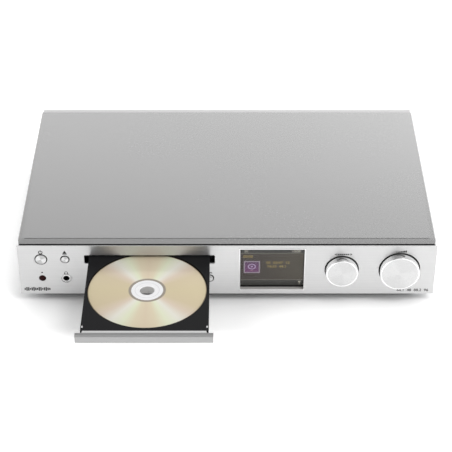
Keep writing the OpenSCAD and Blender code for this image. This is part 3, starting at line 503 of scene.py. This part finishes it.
def finish_piece(bm, name, finish, body, nodes=(), sharp=40):
    """Makes a bmesh a piece that rides on a body and stands for CAD nodes."""
    bmesh.ops.recalc_face_normals(bm, faces=bm.faces[:])
    mesh = bpy.data.meshes.new(name)
    bm.to_mesh(mesh)
    bm.free()
    finishes = finish if isinstance(finish, (list, tuple)) else [finish]
    for each in finishes:
        mesh.materials.append(each.material)
    mesh.shade_smooth()
    mesh.set_sharp_from_angle(angle=math.radians(sharp))
    piece = bpy.data.objects.new(name, mesh)
    bpy.context.scene.collection.objects.link(piece)
    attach(piece, body)
    if nodes:
        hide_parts(*nodes)
    return piece


def traced(node):
    """A bmesh copy of a CAD node, with its points merged and its flat faces whole again."""
    bm = bmesh.new()
    bm.from_mesh(frame["nodes"][node].data)
    bmesh.ops.remove_doubles(bm, verts=bm.verts[:], dist=0.000002)
    bmesh.ops.dissolve_limit(bm, angle_limit=math.radians(0.5), verts=bm.verts[:], edges=bm.edges[:])
    return bm


def soften(bm, width, segments=2, angle=35, keep=None):
    """Breaks every edge that is sharper than an angle, or those of them that keep(edge) picks."""
    edges = [
        edge for edge in bm.edges
        if edge.is_manifold and edge.calc_face_angle() > math.radians(angle)
        and (keep is None or keep(edge))
    ]
    bmesh.ops.bevel(
        bm, geom=edges, offset=width, offset_type="OFFSET", affect="EDGES",
        segments=segments, profile=0.5, material=-1, clamp_overlap=True,
    )


def soft_copy(node, name, width, segments=2):
    """A traced node with broken edges that stands for it."""
    bm = traced(node)
    soften(bm, width, segments)
    look = FINISHES[slots[node]]
    piece = finish_piece(bm, name, look, body_of(node), [node], FLAT_SHARP)
    print(name, "faces", len(piece.data.polygons))
    return piece


AXES = {"X": ((0, 1, 0), (1, 0, 0)), "Y": ((1, 0, 0), (0, 1, 0)), "Z": ((1, 0, 0), (0, 0, 1))}
CASE_ORIGIN = Vector((0, -76.5, 9))
CASE_TOP = 62.5
CASE_HALF = 217.5
POWER_X, EJECT_X = -193.3, -168.3
MENU_X, STOP_X, PREVIOUS_X, PLAY_X, NEXT_X = -118.3, -93.3, -68.3, -43.3, -18.3
UPPER_ROW, LOWER_ROW = 45.2, 20.6
KNOB_Z = 31.9
DISPLAY_X, SCREEN_Y, DISPLAY_Z = 47.2, 6.05, 31.85


def at(x, y, z):
    """A point given in millimetres from the foot of the front plate's face, in the shared frame."""
    return (CASE_ORIGIN + Vector((x, y, z))) * MM


def lathe(outline, centre, axis="Y", steps=96):
    """A bmesh turned from (radius, along) points in millimetres round an axis through a centre."""
    across, along = [Vector(direction) * MM for direction in AXES[axis]]
    bm = bmesh.new()
    points = [bm.verts.new(centre + across * r + along * a) for r, a in outline]
    for start, end in zip(points, points[1:] + points[:1]):
        bm.edges.new((start, end))
    bmesh.ops.spin(
        bm, geom=bm.verts[:] + bm.edges[:], cent=centre, axis=along, angle=math.tau,
        steps=steps, use_merge=True,
    )
    bmesh.ops.remove_doubles(bm, verts=bm.verts[:], dist=0.000002)
    loose = [edge for edge in bm.edges if not edge.link_faces]
    bmesh.ops.delete(bm, geom=loose, context="EDGES")
    return bm


def arc(r, a, radius, start, end, count=4):
    """Outline points on an arc round (r, a). 0 degrees points away from the axis, 90 along it."""
    turns = [math.radians(start + (end - start) * i / count) for i in range(count + 1)]
    return [(r + radius * math.cos(t), a + radius * math.sin(t)) for t in turns]


def block(bm, low, high):
    """Adds a box between two corners given in millimetres."""
    low, high = at(*low), at(*high)
    place = Matrix.Translation((low + high) / 2) @ Matrix.Diagonal((*(high - low), 1))
    return bmesh.ops.create_cube(bm, size=1, matrix=place)["verts"]


def carved(bm, cutter):
    """A bmesh with another one cut out of it."""
    objects = []
    for part in (bm, cutter):
        bmesh.ops.recalc_face_normals(part, faces=part.faces[:])
        mesh = bpy.data.meshes.new("carve")
        part.to_mesh(mesh)
        part.free()
        objects.append(bpy.data.objects.new("carve", mesh))
        bpy.context.scene.collection.objects.link(objects[-1])
    cut = objects[0].modifiers.new("cut", "BOOLEAN")
    cut.operation = "DIFFERENCE"
    cut.solver = "EXACT"
    cut.object = objects[1]
    result = bmesh.new()
    result.from_object(objects[0], bpy.context.evaluated_depsgraph_get())
    for each in objects:
        bpy.data.meshes.remove(each.data)
    return result


print("mesh helpers are ready")

# %% [markdown]
# ## The studio
# A product shot like this is lit almost entirely by white paper. A sweep behind the player is
# bright near the table and falls off upwards. The flat cover mirrors a band of it, so the cover's
# grey grows lighter towards the back. The upright front mirrors the white table instead. On the
# camera's side the room is dark, and that dark shows as a patch on the polished sides of the knobs.
# A fill light beside the lens keeps the table white, with only a thin shadow under the front. It
# has no reflection of its own. The table is a thin white acrylic sheet that glows as if lit from
# below, and its glow is painted light. It is cut out under the player as a painted shadow, dimmer
# beside the tray as painted shade, and brighter ahead of the tray to fill the drawer's shadow. A dark
# patch in the table's colour under the player's front edge is a painted shadow too.

# %% World, softboxes and table
world = bpy.data.worlds.new("studio")
world.use_nodes = True
bpy.context.scene.world = world
paper = Graph(world.node_tree)
direction = world.node_tree.nodes.new("ShaderNodeTexCoord")
parts = world.node_tree.nodes.new("ShaderNodeSeparateXYZ")
world.node_tree.links.new(direction.outputs["Generated"], parts.inputs[0])
sideways, depthwise, upward = [Value(paper, output) for output in parts.outputs]


def grey(level):
    """A colour with three equal channels."""
    return (level, level, level)


behind = paper.ramp(upward, [
    (0.00, grey(1.0)), (0.50, grey(1.0)), (0.56, grey(0.61)), (0.66, grey(0.27)),
    (0.85, grey(0.2)), (1.00, grey(0.18)),
])
behind = paper.mix(sideways * 1.2 + 0.5, paper.mix(0.4, behind, grey(0.0)), behind)
before = paper.ramp(upward, [
    (0.00, grey(0.3)), (0.12, grey(0.5)), (0.30, grey(0.75)), (0.50, grey(0.6)), (1.00, grey(0.3)),
])
camera_side = paper.step(sideways, -0.46, -0.38) * (1 - paper.step(sideways, 0.12, 0.2))
camera_side = camera_side * paper.step(upward, 0.1, 0.2) * (1 - paper.step(upward, 0.8, 0.9))
before = paper.mix(camera_side, before, grey(0.03))
sweep = paper.mix(paper.step(depthwise, -0.25, 0.25), before, behind)
background = world.node_tree.nodes["Background"]
paper.plug(background.inputs["Color"], sweep)
background.inputs["Strength"].default_value = 1.75


def softbox(name, place, target, size, energy):
    """A square softbox at a place that faces a target."""
    data = bpy.data.lights.new(name, "AREA")
    data.size = size
    data.energy = energy
    lamp = bpy.data.objects.new(name, data)
    lamp.location = place
    lamp.rotation_euler = (Vector(target) - Vector(place)).to_track_quat("-Z", "Y").to_euler()
    bpy.context.scene.collection.objects.link(lamp)
    return lamp


softbox("overhead_softbox", (0.3, -0.2, 2.2), (0, 0, 0), 1.6, 8)
fill = softbox("table_fill", (0.9, -0.8, 1.9), (0.1, 0, 0), 0.8, 12)
fill.visible_glossy = False

table_mesh = bmesh.new()
bmesh.ops.create_grid(table_mesh, x_segments=1, y_segments=1, size=4.0)
table_data = bpy.data.meshes.new("table")
table_mesh.to_mesh(table_data)
table_mesh.free()
# Zones of painted light in the table's glow: dimmer beside the tray, brighter ahead of it.
TRAY_X = -0.08
TRAY_SIDES = (0.08, 0.16)
TRAY_FRONT = (-0.15, -0.12)
# The first three bounds cut the glow under the player for a painted shadow; the last three place a
# painted shadow in the table's colour under its front edge.
SHADE_SIDES, SHADE_FRONT, SHADE_BACK = (0.185, 0.245), (-0.13, -0.056), (0.15, 0.19)
PAINTED_SHADOW_SIDES, PAINTED_SHADOW_FRONT, PAINTED_SHADOW_BACK = (0.19, 0.2), (-0.0685, -0.0635), (0.15, 0.16)
table_paper = Finish("table_paper", Roughness=0.9, Emission_Strength=0.75)
across, away, _ = table_paper.split(table_paper.coordinates())
# Painted shadow in the glow under the player, painted shade beside the tray, and painted light ahead of
# the tray.
painted_shadow_under_player = (1 - table_paper.step(abs(across), *SHADE_SIDES)) * table_paper.step(away, *SHADE_FRONT)
painted_shadow_under_player = painted_shadow_under_player * (1 - table_paper.step(away, *SHADE_BACK))
beside = table_paper.step(abs(across - TRAY_X), *TRAY_SIDES)
ahead = (1 - table_paper.step(away, *TRAY_FRONT)) * (1 - beside)
glow = table_paper.mix(beside, grey(0.36), grey(0.667))
glow = table_paper.mix(ahead, glow, grey(1.0))
table_paper.set("Emission_Color", table_paper.mix(painted_shadow_under_player, glow, grey(0.0)))
# A dark patch in the table's colour under the player's front edge: a painted shadow.
painted_shadow_patch = (1 - table_paper.step(abs(across), *PAINTED_SHADOW_SIDES)) * table_paper.step(away, *PAINTED_SHADOW_FRONT)
painted_shadow_patch = painted_shadow_patch * (1 - table_paper.step(away, *PAINTED_SHADOW_BACK))
fibres = table_paper.noise(table_paper.coordinates(), 40.0, 3.0)
table_colour = table_paper.mix(fibres, grey(0.88), grey(0.9))
table_paper.set("Base_Color", table_paper.mix(painted_shadow_patch, table_colour, grey(0.06)))
table_data.materials.append(table_paper.material)
table = bpy.data.objects.new("table", table_data)
bpy.context.scene.collection.objects.link(table)
print("studio: world, softboxes and table")

# %% [markdown]
# ## Front plate, cover and back
# The front plate is a flat bar of aluminium. It is brushed lengthwise, and its edges are broken by
# a fraction of a millimetre, which draws a bright line along its top. Its back edge is chamfered, so
# it looks thinner than it is. The cover is folded steel, with a shallow groove across its front. The
# lip in front of the groove slopes by about two degrees, and its corners are mitred. The cut front
# edge of the sheet is painted black, a painted shade for the shadow gap behind the front plate.
# Tracing the engineering nodes keeps every hole in place, and a bevel on their sharp edges gives the
# light something to catch.

# %% Front plate, carrier, cover and back
BACK_CHAMFER = 0.0011
TOP_BACK = at(0, 1.9, CASE_TOP - 0.1)
bm = traced("fascia")
back_edge = [
    edge for edge in bm.edges
    if all(vert.co.z > TOP_BACK.z and vert.co.y > TOP_BACK.y for vert in edge.verts)
]
bmesh.ops.bevel(
    bm, geom=back_edge, offset=BACK_CHAMFER, offset_type="OFFSET", affect="EDGES",
    segments=1, profile=0.5, material=-1,
)
soften(bm, 0.0003, 3)
finish_piece(
    bm, "front_plate", FINISHES["brushed_aluminium"], "housing",
    ["fascia"], FLAT_SHARP,
)
soft_copy("rear_panel", "back_plate", 0.0002, 1)

MITRE_ANGLE = 18.2
MITRE_END = 12


def mitred(bm):
    """Cuts the two front corners at a slant, as a folded cover has them."""
    cutter = bmesh.new()
    for side in (-1, 1):
        turn = Matrix.Rotation(math.radians(-MITRE_ANGLE * side), 4, "Z")
        place = Matrix.Translation(at(CASE_HALF * side, MITRE_END, 30)) @ turn
        place = place @ Matrix.Translation((0.01 * side, 0, 0)) @ Matrix.Diagonal((0.02, 0.06, 0.09, 1))
        bmesh.ops.create_cube(cutter, size=1, matrix=place)
    return carved(bm, cutter)


bm = mitred(traced("front_frame"))
soften(bm, 0.0002, 1)
finish_piece(
    bm, "front_carrier", FINISHES["black_plastic"], "housing", ["front_frame"],
    FLAT_SHARP,
)

LIP_START = at(0, 13.95, 0).y
LIP_SLOPE = 0.038
bm = mitred(traced("top_cover"))
soften(bm, 0.00015, 2)
bmesh.ops.bisect_plane(
    bm, geom=bm.verts[:] + bm.edges[:] + bm.faces[:], dist=0.000001,
    plane_co=(0, LIP_START, 0), plane_no=(0, 1, 0),
)
for vert in bm.verts:
    if vert.co.y < LIP_START and vert.co.z > at(0, 0, 60).z:
        vert.co.z -= (LIP_START - vert.co.y) * LIP_SLOPE
# The cut front edge of the sheet takes the black finish: painted shade for the gap behind the plate.
for face in bm.faces:
    middle = face.calc_center_median()
    painted_gap_shade = face.normal.y < -0.4 and middle.y < at(0, 6, 0).y
    face.material_index = 1 if painted_gap_shade else 0
looks = [FINISHES["cover_paint"], FINISHES["black_plastic"]]
finish_piece(bm, "folded_cover", looks, "housing", ["top_cover"], FLAT_SHARP)
print("front plate, carrier, cover and back plate")

# %% [markdown]
# ## Knobs
# Each knob is turned from solid aluminium: a flat face with fine rings, a polished chamfer, and a
# polished side that mirrors its surroundings. The outline is turned round the knob's axis. A second
# finish then goes on the flat face alone.


# %% Knobs
def knob(node, name, x, radius):
    """A turned knob over one CAD knob."""
    centre = at(x, 0, KNOB_Z)
    outline = [
        (3.01, 0.5), (3.01, -5.0), (0, -5.0), (0, -7.9), (radius - 2.2, -7.9),
        *arc(radius - 1.6, -7.9, 0.12, 180, 0, 4),
        (radius - 1.2, -8.0),
        *arc(radius - 0.8, -7.2, 0.8, -80, 0, 6),
        (radius, 0.85), (radius - 0.15, 1.0), (radius - 2, 1.0), (radius - 2, -5.0),
        (5.5, -5.0), (5.5, 0.5),
    ]
    bm = lathe(outline, centre, "Y", 160)
    bmesh.ops.recalc_face_normals(bm, faces=bm.faces[:])
    for face in bm.faces:
        middle = face.calc_center_median() - centre
        flat = middle.y < -7.8 * MM and math.hypot(middle.x, middle.z) < (radius - 1.9) * MM
        face.material_index = 1 if flat else 0
    face_finish = turned(name + "_face", centre, grey(0.62), 0.26)
    side = plated(name + "_side", grey(0.92), 0.06, 200.0)
    piece = finish_piece(bm, name, [side, face_finish], body_of(node), [node], 30)
    print(name, "radius", radius, "faces", len(piece.data.polygons))


knob("tuning_knob", "tuning_dial", 119.8, 16.8)
knob("volume_knob", "volume_dial", 180.0, 20.6)

# %% [markdown]
# ## Buttons
# The buttons are small turned caps with a rounded rim and a slightly dished face. A flange keeps
# each cap behind the plate, and the stem reaches back to its switch.


# %% Buttons
def push_button(node, x, z, radius):
    """A turned cap with its flange and stem, over one CAD button."""
    centre = at(x, 0, z)
    rim = radius - 0.15
    outline = [
        (0, -0.55), (rim * 0.45, -0.6), (rim - 0.6, -0.69),
        *arc(rim - 0.3, -0.4, 0.3, -90, 0, 4),
        (rim, 7.7), (radius + 1, 7.7), (radius + 1, 8.9), (2, 8.9), (2, 9.95), (0, 9.95),
    ]
    bm = lathe(outline, centre, "Y", 72)
    bmesh.ops.recalc_face_normals(bm, faces=bm.faces[:])
    for face in bm.faces:
        middle = face.calc_center_median() - centre
        face.material_index = 1 if middle.y < -0.5 * MM and face.normal.y < -0.9 else 0
    # The last number sets how dark the painted reflection fans are on the cap's face.
    face_finish = turned(node + "_face", centre, grey(0.66), 0.2, 0.0002, 0.3)
    looks = [FINISHES["button_metal"], face_finish]
    finish_piece(bm, node.replace("button", "cap"), looks, body_of(node), [node], 35)


for node, x, z, radius in (
    ("power_button", POWER_X, UPPER_ROW, 5.8),
    ("eject_button", EJECT_X, UPPER_ROW, 4.0),
    ("menu_button", MENU_X, LOWER_ROW, 4.0),
    ("stop_button", STOP_X, LOWER_ROW, 4.0),
    ("previous_button", PREVIOUS_X, LOWER_ROW, 4.0),
    ("play_button", PLAY_X, LOWER_ROW, 4.0),
    ("next_button", NEXT_X, LOWER_ROW, 4.0),
):
    push_button(node, x, z, radius)
print("seven buttons")

# %% [markdown]
# ## The display
# A bright trim frame goes through the front plate, and the window sits in it a few millimetres
# deep. The panel behind shows a dim menu: two hairlines, a purple tile with a disc, and digits.
# The picture is drawn in the shader with box and ring masks, and it glows a little. The digits are
# thin solid letters in front of it.


# %% Display
DISPLAY = at(DISPLAY_X, SCREEN_Y, DISPLAY_Z)
bm = traced("display_bezel")
soften(bm, 0.0001, 2)
for face in bm.faces:
    face.material_index = 1 if face.calc_center_median().y < at(0, 0.05, 0).y else 0
looks = [FINISHES["satin_trim"], FINISHES["bright_trim"]]
finish_piece(bm, "display_frame", looks, "housing", ["display_bezel"])
soft_copy("display_window", "window_pane", 0.0001, 1)
soft_copy("display_module", "display_panel", 0.0001, 1)


def screen_picture(name):
    """The lit picture: everything on it is a mask in millimetres from the screen's centre."""
    screen = Finish(name, Base_Color=(0.01, 0.01, 0.01, 1), Roughness=0.3, Emission_Strength=1.0)
    x, _, z = screen.split(screen.coordinates(DISPLAY, (1000, 1000, 1000)))

    def inside(left, right, low, high):
        return (x > left) * (x < right) * (z > low) * (z < high)

    def ring(across, up, inner, outer):
        height = (z - up) * 1.18
        distance = ((x - across) * (x - across) + height * height).root()
        return (distance > inner) * (distance < outer)

    def shade(level, tint=(1.0, 0.93, 0.8)):
        return tuple(level * channel for channel in tint)

    left, right = (0.041, 0.031, 0.026), (0.062, 0.052, 0.035)
    picture = screen.mix(screen.step(x, -34, 34), left, right)
    picture = screen.mix(inside(-33, 33, 16.8, 30), picture, shade(0.036, (1, 1, 0.9)))
    picture = screen.mix(inside(-33, 33, -30, -18.2), picture, shade(0.034, (1, 1, 0.9)))
    for height in (16.6, -18.0):
        picture = screen.mix(inside(-33, 33, height - 0.4, height + 0.4), picture, shade(0.15))
    tile = screen.mix(screen.step(z, -9, 7), (0.15, 0.045, 0.14), (0.10, 0.045, 0.11))
    picture = screen.mix(inside(-29.6, -12.5, -9.2, 6.6), picture, (0.30, 0.25, 0.30))
    picture = screen.mix(inside(-28.3, -13.8, -7.9, 5.3), picture, tile)
    disc = ring(-21.1, -0.7, 3.1, 4.2).larger(ring(-21.1, -0.7, 0.0, 1.1))
    picture = screen.mix(disc, picture, (0.44, 0.34, 0.52))
    picture = screen.mix(inside(-22.3, -19.9, -6.4, -5.4), picture, (0.30, 0.14, 0.22))
    rows = ((z * (math.tau / 0.45)).sine() * 0.5 + 0.5) * 0.12
    picture = screen.mix(rows, picture, (0, 0, 0))
    screen.set("Emission_Color", picture)
    return screen


bm = bmesh.new()
block(
    bm, (DISPLAY_X - 32.8, SCREEN_Y, DISPLAY_Z - 25.55),
    (DISPLAY_X + 32.8, SCREEN_Y + 0.15, DISPLAY_Z + 25.55),
)
finish_piece(bm, "screen_picture", screen_picture("screen_picture"), "housing")
print("display: frame, glass, panel and picture")

# %% [markdown]
# ## Printed marks and digits
# Every mark on the plate is screen-printed ink, a few hundredths of a millimetre thick. Each icon
# is made as a thin solid from boxes, a triangle and part rings. Digits come from Blender's own
# font, turned into a mesh before they are put in place.


# %% Marks
INK = 0.04
MARK_ROW = 27.6
TUNING_MARKS = 51.6


def bar(bm, x, z, width, height):
    """A printed box round a middle point."""
    return block(bm, (x - width / 2, -INK, z - height / 2), (x + width / 2, 0, z + height / 2))


def triangle(bm, x, z, width, turn):
    """A printed triangle that points up, turned clockwise by an angle in degrees."""
    place = Matrix.Translation(at(x, -INK / 2, z)) @ Matrix.Rotation(math.radians(turn), 4, "Y")
    place = place @ Matrix.Rotation(math.pi / 2, 4, "X")
    radius = width / math.sqrt(3) * MM
    bmesh.ops.create_cone(
        bm, cap_ends=True, segments=3, radius1=radius, radius2=radius, depth=INK * MM, matrix=place,
    )


def part_ring(bm, x, z, inner, outer, start, end):
    """A printed part of a ring. 0 degrees is to the right, and the angle grows anticlockwise."""
    centre = at(x, 0, z)
    across = Matrix.Rotation(math.radians(-start), 3, "Y") @ Vector((MM, 0, 0))
    ink = Vector((0, -INK * MM, 0))
    corners = [across * inner, across * outer, across * outer + ink, across * inner + ink]
    face = bm.faces.new([bm.verts.new(centre + corner) for corner in corners])
    bmesh.ops.spin(
        bm, geom=[face, *face.edges, *face.verts], cent=centre, axis=(0, 1, 0),
        angle=math.radians(start - end), steps=28, use_merge=False,
    )
    open_edges = [edge for edge in bm.edges if edge.is_boundary]
    bmesh.ops.holes_fill(bm, edges=open_edges, sides=4)


def printed(bm, name, finish=None):
    """Makes marks a piece of the housing."""
    return finish_piece(bm, name, finish or ink_black, "housing", sharp=20)


def lettering(name, words, x, y, z, size, finish):
    """Thin solid digits that face forwards, round a middle point in millimetres."""
    curve = bpy.data.curves.new(name, "FONT")
    curve.body = words
    curve.size = size * MM
    curve.extrude = INK / 2 * MM
    curve.offset = 0.018 * size * MM
    curve.align_x = "CENTER"
    curve.align_y = "CENTER"
    text = bpy.data.objects.new(name + "_text", curve)
    bpy.context.scene.collection.objects.link(text)
    solid = text.evaluated_get(bpy.context.evaluated_depsgraph_get())
    bm = bmesh.new()
    bm.from_mesh(solid.to_mesh())
    solid.to_mesh_clear()
    bpy.data.objects.remove(text)
    bpy.data.curves.remove(curve)
    bmesh.ops.remove_doubles(bm, verts=bm.verts[:], dist=0.000001)
    place = Matrix.Translation(at(x, y - INK / 2, z)) @ Matrix.Rotation(math.pi / 2, 4, "X")
    bmesh.ops.transform(bm, matrix=place, verts=bm.verts[:])
    return printed(bm, name, finish)


ink_black = moulded("ink_black", grey(0.012), 0.6, 3000.0, 0.000002)

bm = bmesh.new()
part_ring(bm, POWER_X, 54.2, 1.4, 2.3, 130, 410)
bar(bm, POWER_X, 55.6, 0.9, 2.8)
printed(bm, "mark_power")

bm = bmesh.new()
triangle(bm, EJECT_X, 53.9, 4.4, 0)
bar(bm, EJECT_X, 51.9, 4.4, 0.9)
printed(bm, "mark_eject")

bm = bmesh.new()
part_ring(bm, EJECT_X, MARK_ROW, 1.35, 1.75, -8, 188)
for side in (-1.55, 1.55):
    bar(bm, EJECT_X + side, 26.8, 0.9, 1.5)
printed(bm, "mark_headphones")

bm = bmesh.new()
for step in (-0.9, 0, 0.9):
    bar(bm, MENU_X, MARK_ROW + step, 3.4, 0.45)
bar(bm, STOP_X, MARK_ROW, 2.4, 2.4)
for x, turn, stop in ((PREVIOUS_X, -90, -2.4), (NEXT_X, 90, 2.4)):
    triangle(bm, x - 0.9, MARK_ROW, 2.2, turn)
    triangle(bm, x + 0.9, MARK_ROW, 2.2, turn)
    bar(bm, x + stop, MARK_ROW, 0.5, 2.2)
triangle(bm, PLAY_X - 1.1, MARK_ROW, 2.4, 90)
for step in (0.7, 1.8):
    bar(bm, PLAY_X + step, MARK_ROW, 0.6, 2.4)
printed(bm, "mark_transport")

bm = bmesh.new()
triangle(bm, 112.9, TUNING_MARKS, 2.4, -90)
triangle(bm, 128.7, TUNING_MARKS, 2.4, 90)
for mark in range(6):
    bar(bm, 115.55 + mark * 2.1, TUNING_MARKS, 1.6, 1.5)
printed(bm, "mark_tuning")

bm = bmesh.new()
for mark in range(7):
    height = 0.8 + 0.3 * mark
    bar(bm, 175.9 + mark * 1.6, 54.0 + height / 2, 1.25, height)
printed(bm, "mark_volume")

bm = bmesh.new()
for mark in range(15):
    height = 1.6 + 3.4 * abs(math.sin(mark * 0.9 + 0.3))
    bar(bm, -212.6 + mark * 1.85, 6.2, 1.35, height)
printed(bm, "mark_level_bars")

lettering("mark_rates", "44.1  48  88.2  96", 195.6, 0, 4.6, 4.7, ink_black)
print("marks: power, eject, headphones, transport, tuning, volume, level bars, rates")

# %% [markdown]
# ## Digits on the display
# The picture's digits are a clock, a track number and two running times.


# %% Lit digits
def lit(name, colour):
    """Ink that glows on the screen, with a fine dot pattern."""
    glow = Finish(name, Base_Color=(0.01, 0.01, 0.01, 1), Roughness=0.5, Emission_Strength=1.0)
    x, _, z = glow.split(glow.coordinates(DISPLAY, (1000, 1000, 1000)))
    dots = ((x * (math.tau / 0.3)).sine() * (z * (math.tau / 0.3)).sine()) * 0.5 + 0.5
    glow.set("Emission_Color", glow.mix(dots * 0.2, colour, (0, 0, 0)))
    return glow


pale = lit("lit_pale", (0.45, 0.43, 0.36))
ochre = lit("lit_ochre", (0.32, 0.24, 0.08))
lettering("digits_clock", "10:08", 72.0, SCREEN_Y, 51.0, 4.2, pale)
lettering("digits_source", "01", 20.5, SCREEN_Y, 51.0, 4.2, pale)
lettering("digits_mode", "00:00", 22.0, SCREEN_Y, 44.2, 4.6, ochre)
lettering("digits_track", "05  03:47  12", 53.4, SCREEN_Y, 36.2, 4.6, ochre)
lettering("digits_total", "74:33  44.1", 52.2, SCREEN_Y, 31.2, 4.6, ochre)

bm = bmesh.new()
triangle(bm, 76.3, 11.2, 3.2, 180)
bar(bm, 76.3, 9.4, 0.5, 3.4)
for vert in bm.verts:
    vert.co.y += SCREEN_Y * MM
printed(bm, "screen_aerial", pale)
print("display digits")

# %% [markdown]
# ## Drawer and disc
# The tray is moulded in one piece, with a stepped round recess for the two disc sizes. Its edges
# are broken a little, as a mould leaves them. The tongue behind the bar has a lighter coat. The disc
# is turned from an outline that has the thin stacking groove round its clear middle and rounded rims.

# %% Drawer and disc
soft_copy("disc_tray", "loading_tray", 0.0002, 1)
BAR_BACK = -124
bm = traced("drawer_front")
soften(bm, 0.0003, 2)
for face in bm.faces:
    behind_bar = face.calc_center_median().y > at(0, BAR_BACK, 0).y
    face.material_index = 1 if behind_bar and face.normal.z > 0.7 else 0
looks = [FINISHES["silver_plastic"], FINISHES["light_silver"]]
finish_piece(bm, "drawer_bar", looks, "drawer", ["drawer_front"], FLAT_SHARP)

disc_outline = [
    (7.5, -0.5), (7.5, 0.5), (7.6, 0.6), (16.3, 0.6), (16.45, 0.5), (16.9, 0.5), (17.05, 0.6),
    *arc(59.75, 0.35, 0.25, 90, 0, 3), *arc(59.75, -0.35, 0.25, 0, -90, 3),
    (17.05, -0.6), (16.9, -0.5), (16.45, -0.5), (16.3, -0.6), (7.6, -0.6),
]
bm = lathe(disc_outline, at(-80.4, -54.6, 47.0), "Z", 180)
finish_piece(bm, "silver_disc", FINISHES["disc_foil"], "disc", ["compact_disc"], 30)
print("tray, bar and disc")

# %% [markdown]
# ## Socket, sensor and lamp
# The headphone socket is ringed by a polished, dished washer. The sensor's lens is a shallow dome of
# very dark red, and the lamp is a tiny clear dome.

# %% Front fittings
bm = traced("headphone_jack")
soften(bm, 0.00015, 2)
nose = at(EJECT_X, 0, LOWER_ROW)
for face in bm.faces:
    ahead = max(vert.co.y for vert in face.verts) < nose.y - 0.15 * MM
    face.material_index = 1 if ahead else 0
looks = [FINISHES["black_plastic"], FINISHES["bright_trim"]]
finish_piece(bm, "phone_socket", looks, "housing", ["headphone_jack"])
ring_outline = [
    (4.6, 0), (4.6, -0.6), (4.7, -0.72), (4.85, -0.72), (4.95, -0.6), (5.0, -0.05), (5.4, -0.05),
    (5.45, -0.6), (5.55, -0.7), (5.8, -0.6), (6.0, 0),
]
bm = lathe(ring_outline, nose, "Y", 96)
finish_piece(
    bm, "phone_ring", FINISHES["bright_trim"], "housing", ["headphone_ring"],
)
lens_outline = [
    (0, -0.3), (1.2, -0.28), (2.3, -0.2), (3.1, -0.06), (3.5, 0.1), (3.7, 0.4), (3.7, 7.4), (0, 7.4),
]
bm = lathe(lens_outline, at(POWER_X, 0, LOWER_ROW), "Y", 72)
finish_piece(bm, "sensor_lens", FINISHES["red_lens"], "housing", ["ir_window"])
LAMP_Z = 27.9
lamp_outline = [(0, 0), (0.35, 0.03), (0.62, 0.14), (0.8, 0.4), (0.8, 15), (0, 15)]
bm = lathe(lamp_outline, at(POWER_X, 0, LAMP_Z), "Y", 32)
finish_piece(bm, "standby_lamp", FINISHES["led_clear"], "housing", ["standby_led"])
print("front fittings")

# %% [markdown]
# ## Feet and screws
# The feet are moulded in soft black plastic, each held by a screw in its hollow. The screw heads are
# domed and have a cross recess, cut here with a Boolean, one slot after the other.

# %% Feet and screws
soft_copy("feet", "moulded_feet", 0.0007, 3)


RECESS_SPAN = 3.4
RECESS_WIDTH = 0.8


def slots_cut(bm, centres, wide, along, depth):
    """Cuts one straight slot into each screw head, long in one axis and deep along another."""
    cutter = bmesh.new()
    half = [RECESS_WIDTH / 2] * 3
    half[wide] = RECESS_SPAN / 2
    half[along] = depth
    for centre in centres:
        low = [c - h for c, h in zip(centre, half)]
        high = [c + h for c, h in zip(centre, half)]
        block(cutter, low, high)
    return carved(bm, cutter)


def cross_screws(node, name, centres, along, depth):
    """Screws traced from the CAD node, with rounded heads and cross recesses."""
    bm = traced(node)
    soften(bm, 0.0004, 3, 60, lambda edge: edge.calc_length() < 0.0016)
    for wide in [axis for axis in range(3) if axis != along]:
        bm = slots_cut(bm, centres, wide, along, depth)
    looks = FINISHES["screw_steel"]
    piece = finish_piece(bm, name, looks, body_of(node), [node], 35)
    print(name, "faces", len(piece.data.polygons))


corners = [(x, y) for x in (-175.5, 175.5) for y in (38, 233.5)]
cross_screws("foot_screws", "foot_cross_screws", [(x, y, -5.1) for x, y in corners], 2, 1.1)
sides = [(x, y) for x in (-218.9, 218.9) for y in (60, 221.5)]
cross_screws("cover_screws", "side_cross_screws", [(x, y, 8) for x, y in sides], 0, 0.9)
print("feet and screws")

# %% [markdown]
# ## Sockets at the back
# The sockets come from their CAD nodes, with broken edges.

# %% Back sockets
soft_copy("mains_inlet", "power_inlet", 0.0003, 2)
soft_copy("line_out_jacks", "phono_sockets", 0.0002, 2)
soft_copy("antenna_socket", "aerial_socket", 0.0002, 2)
print("back sockets")
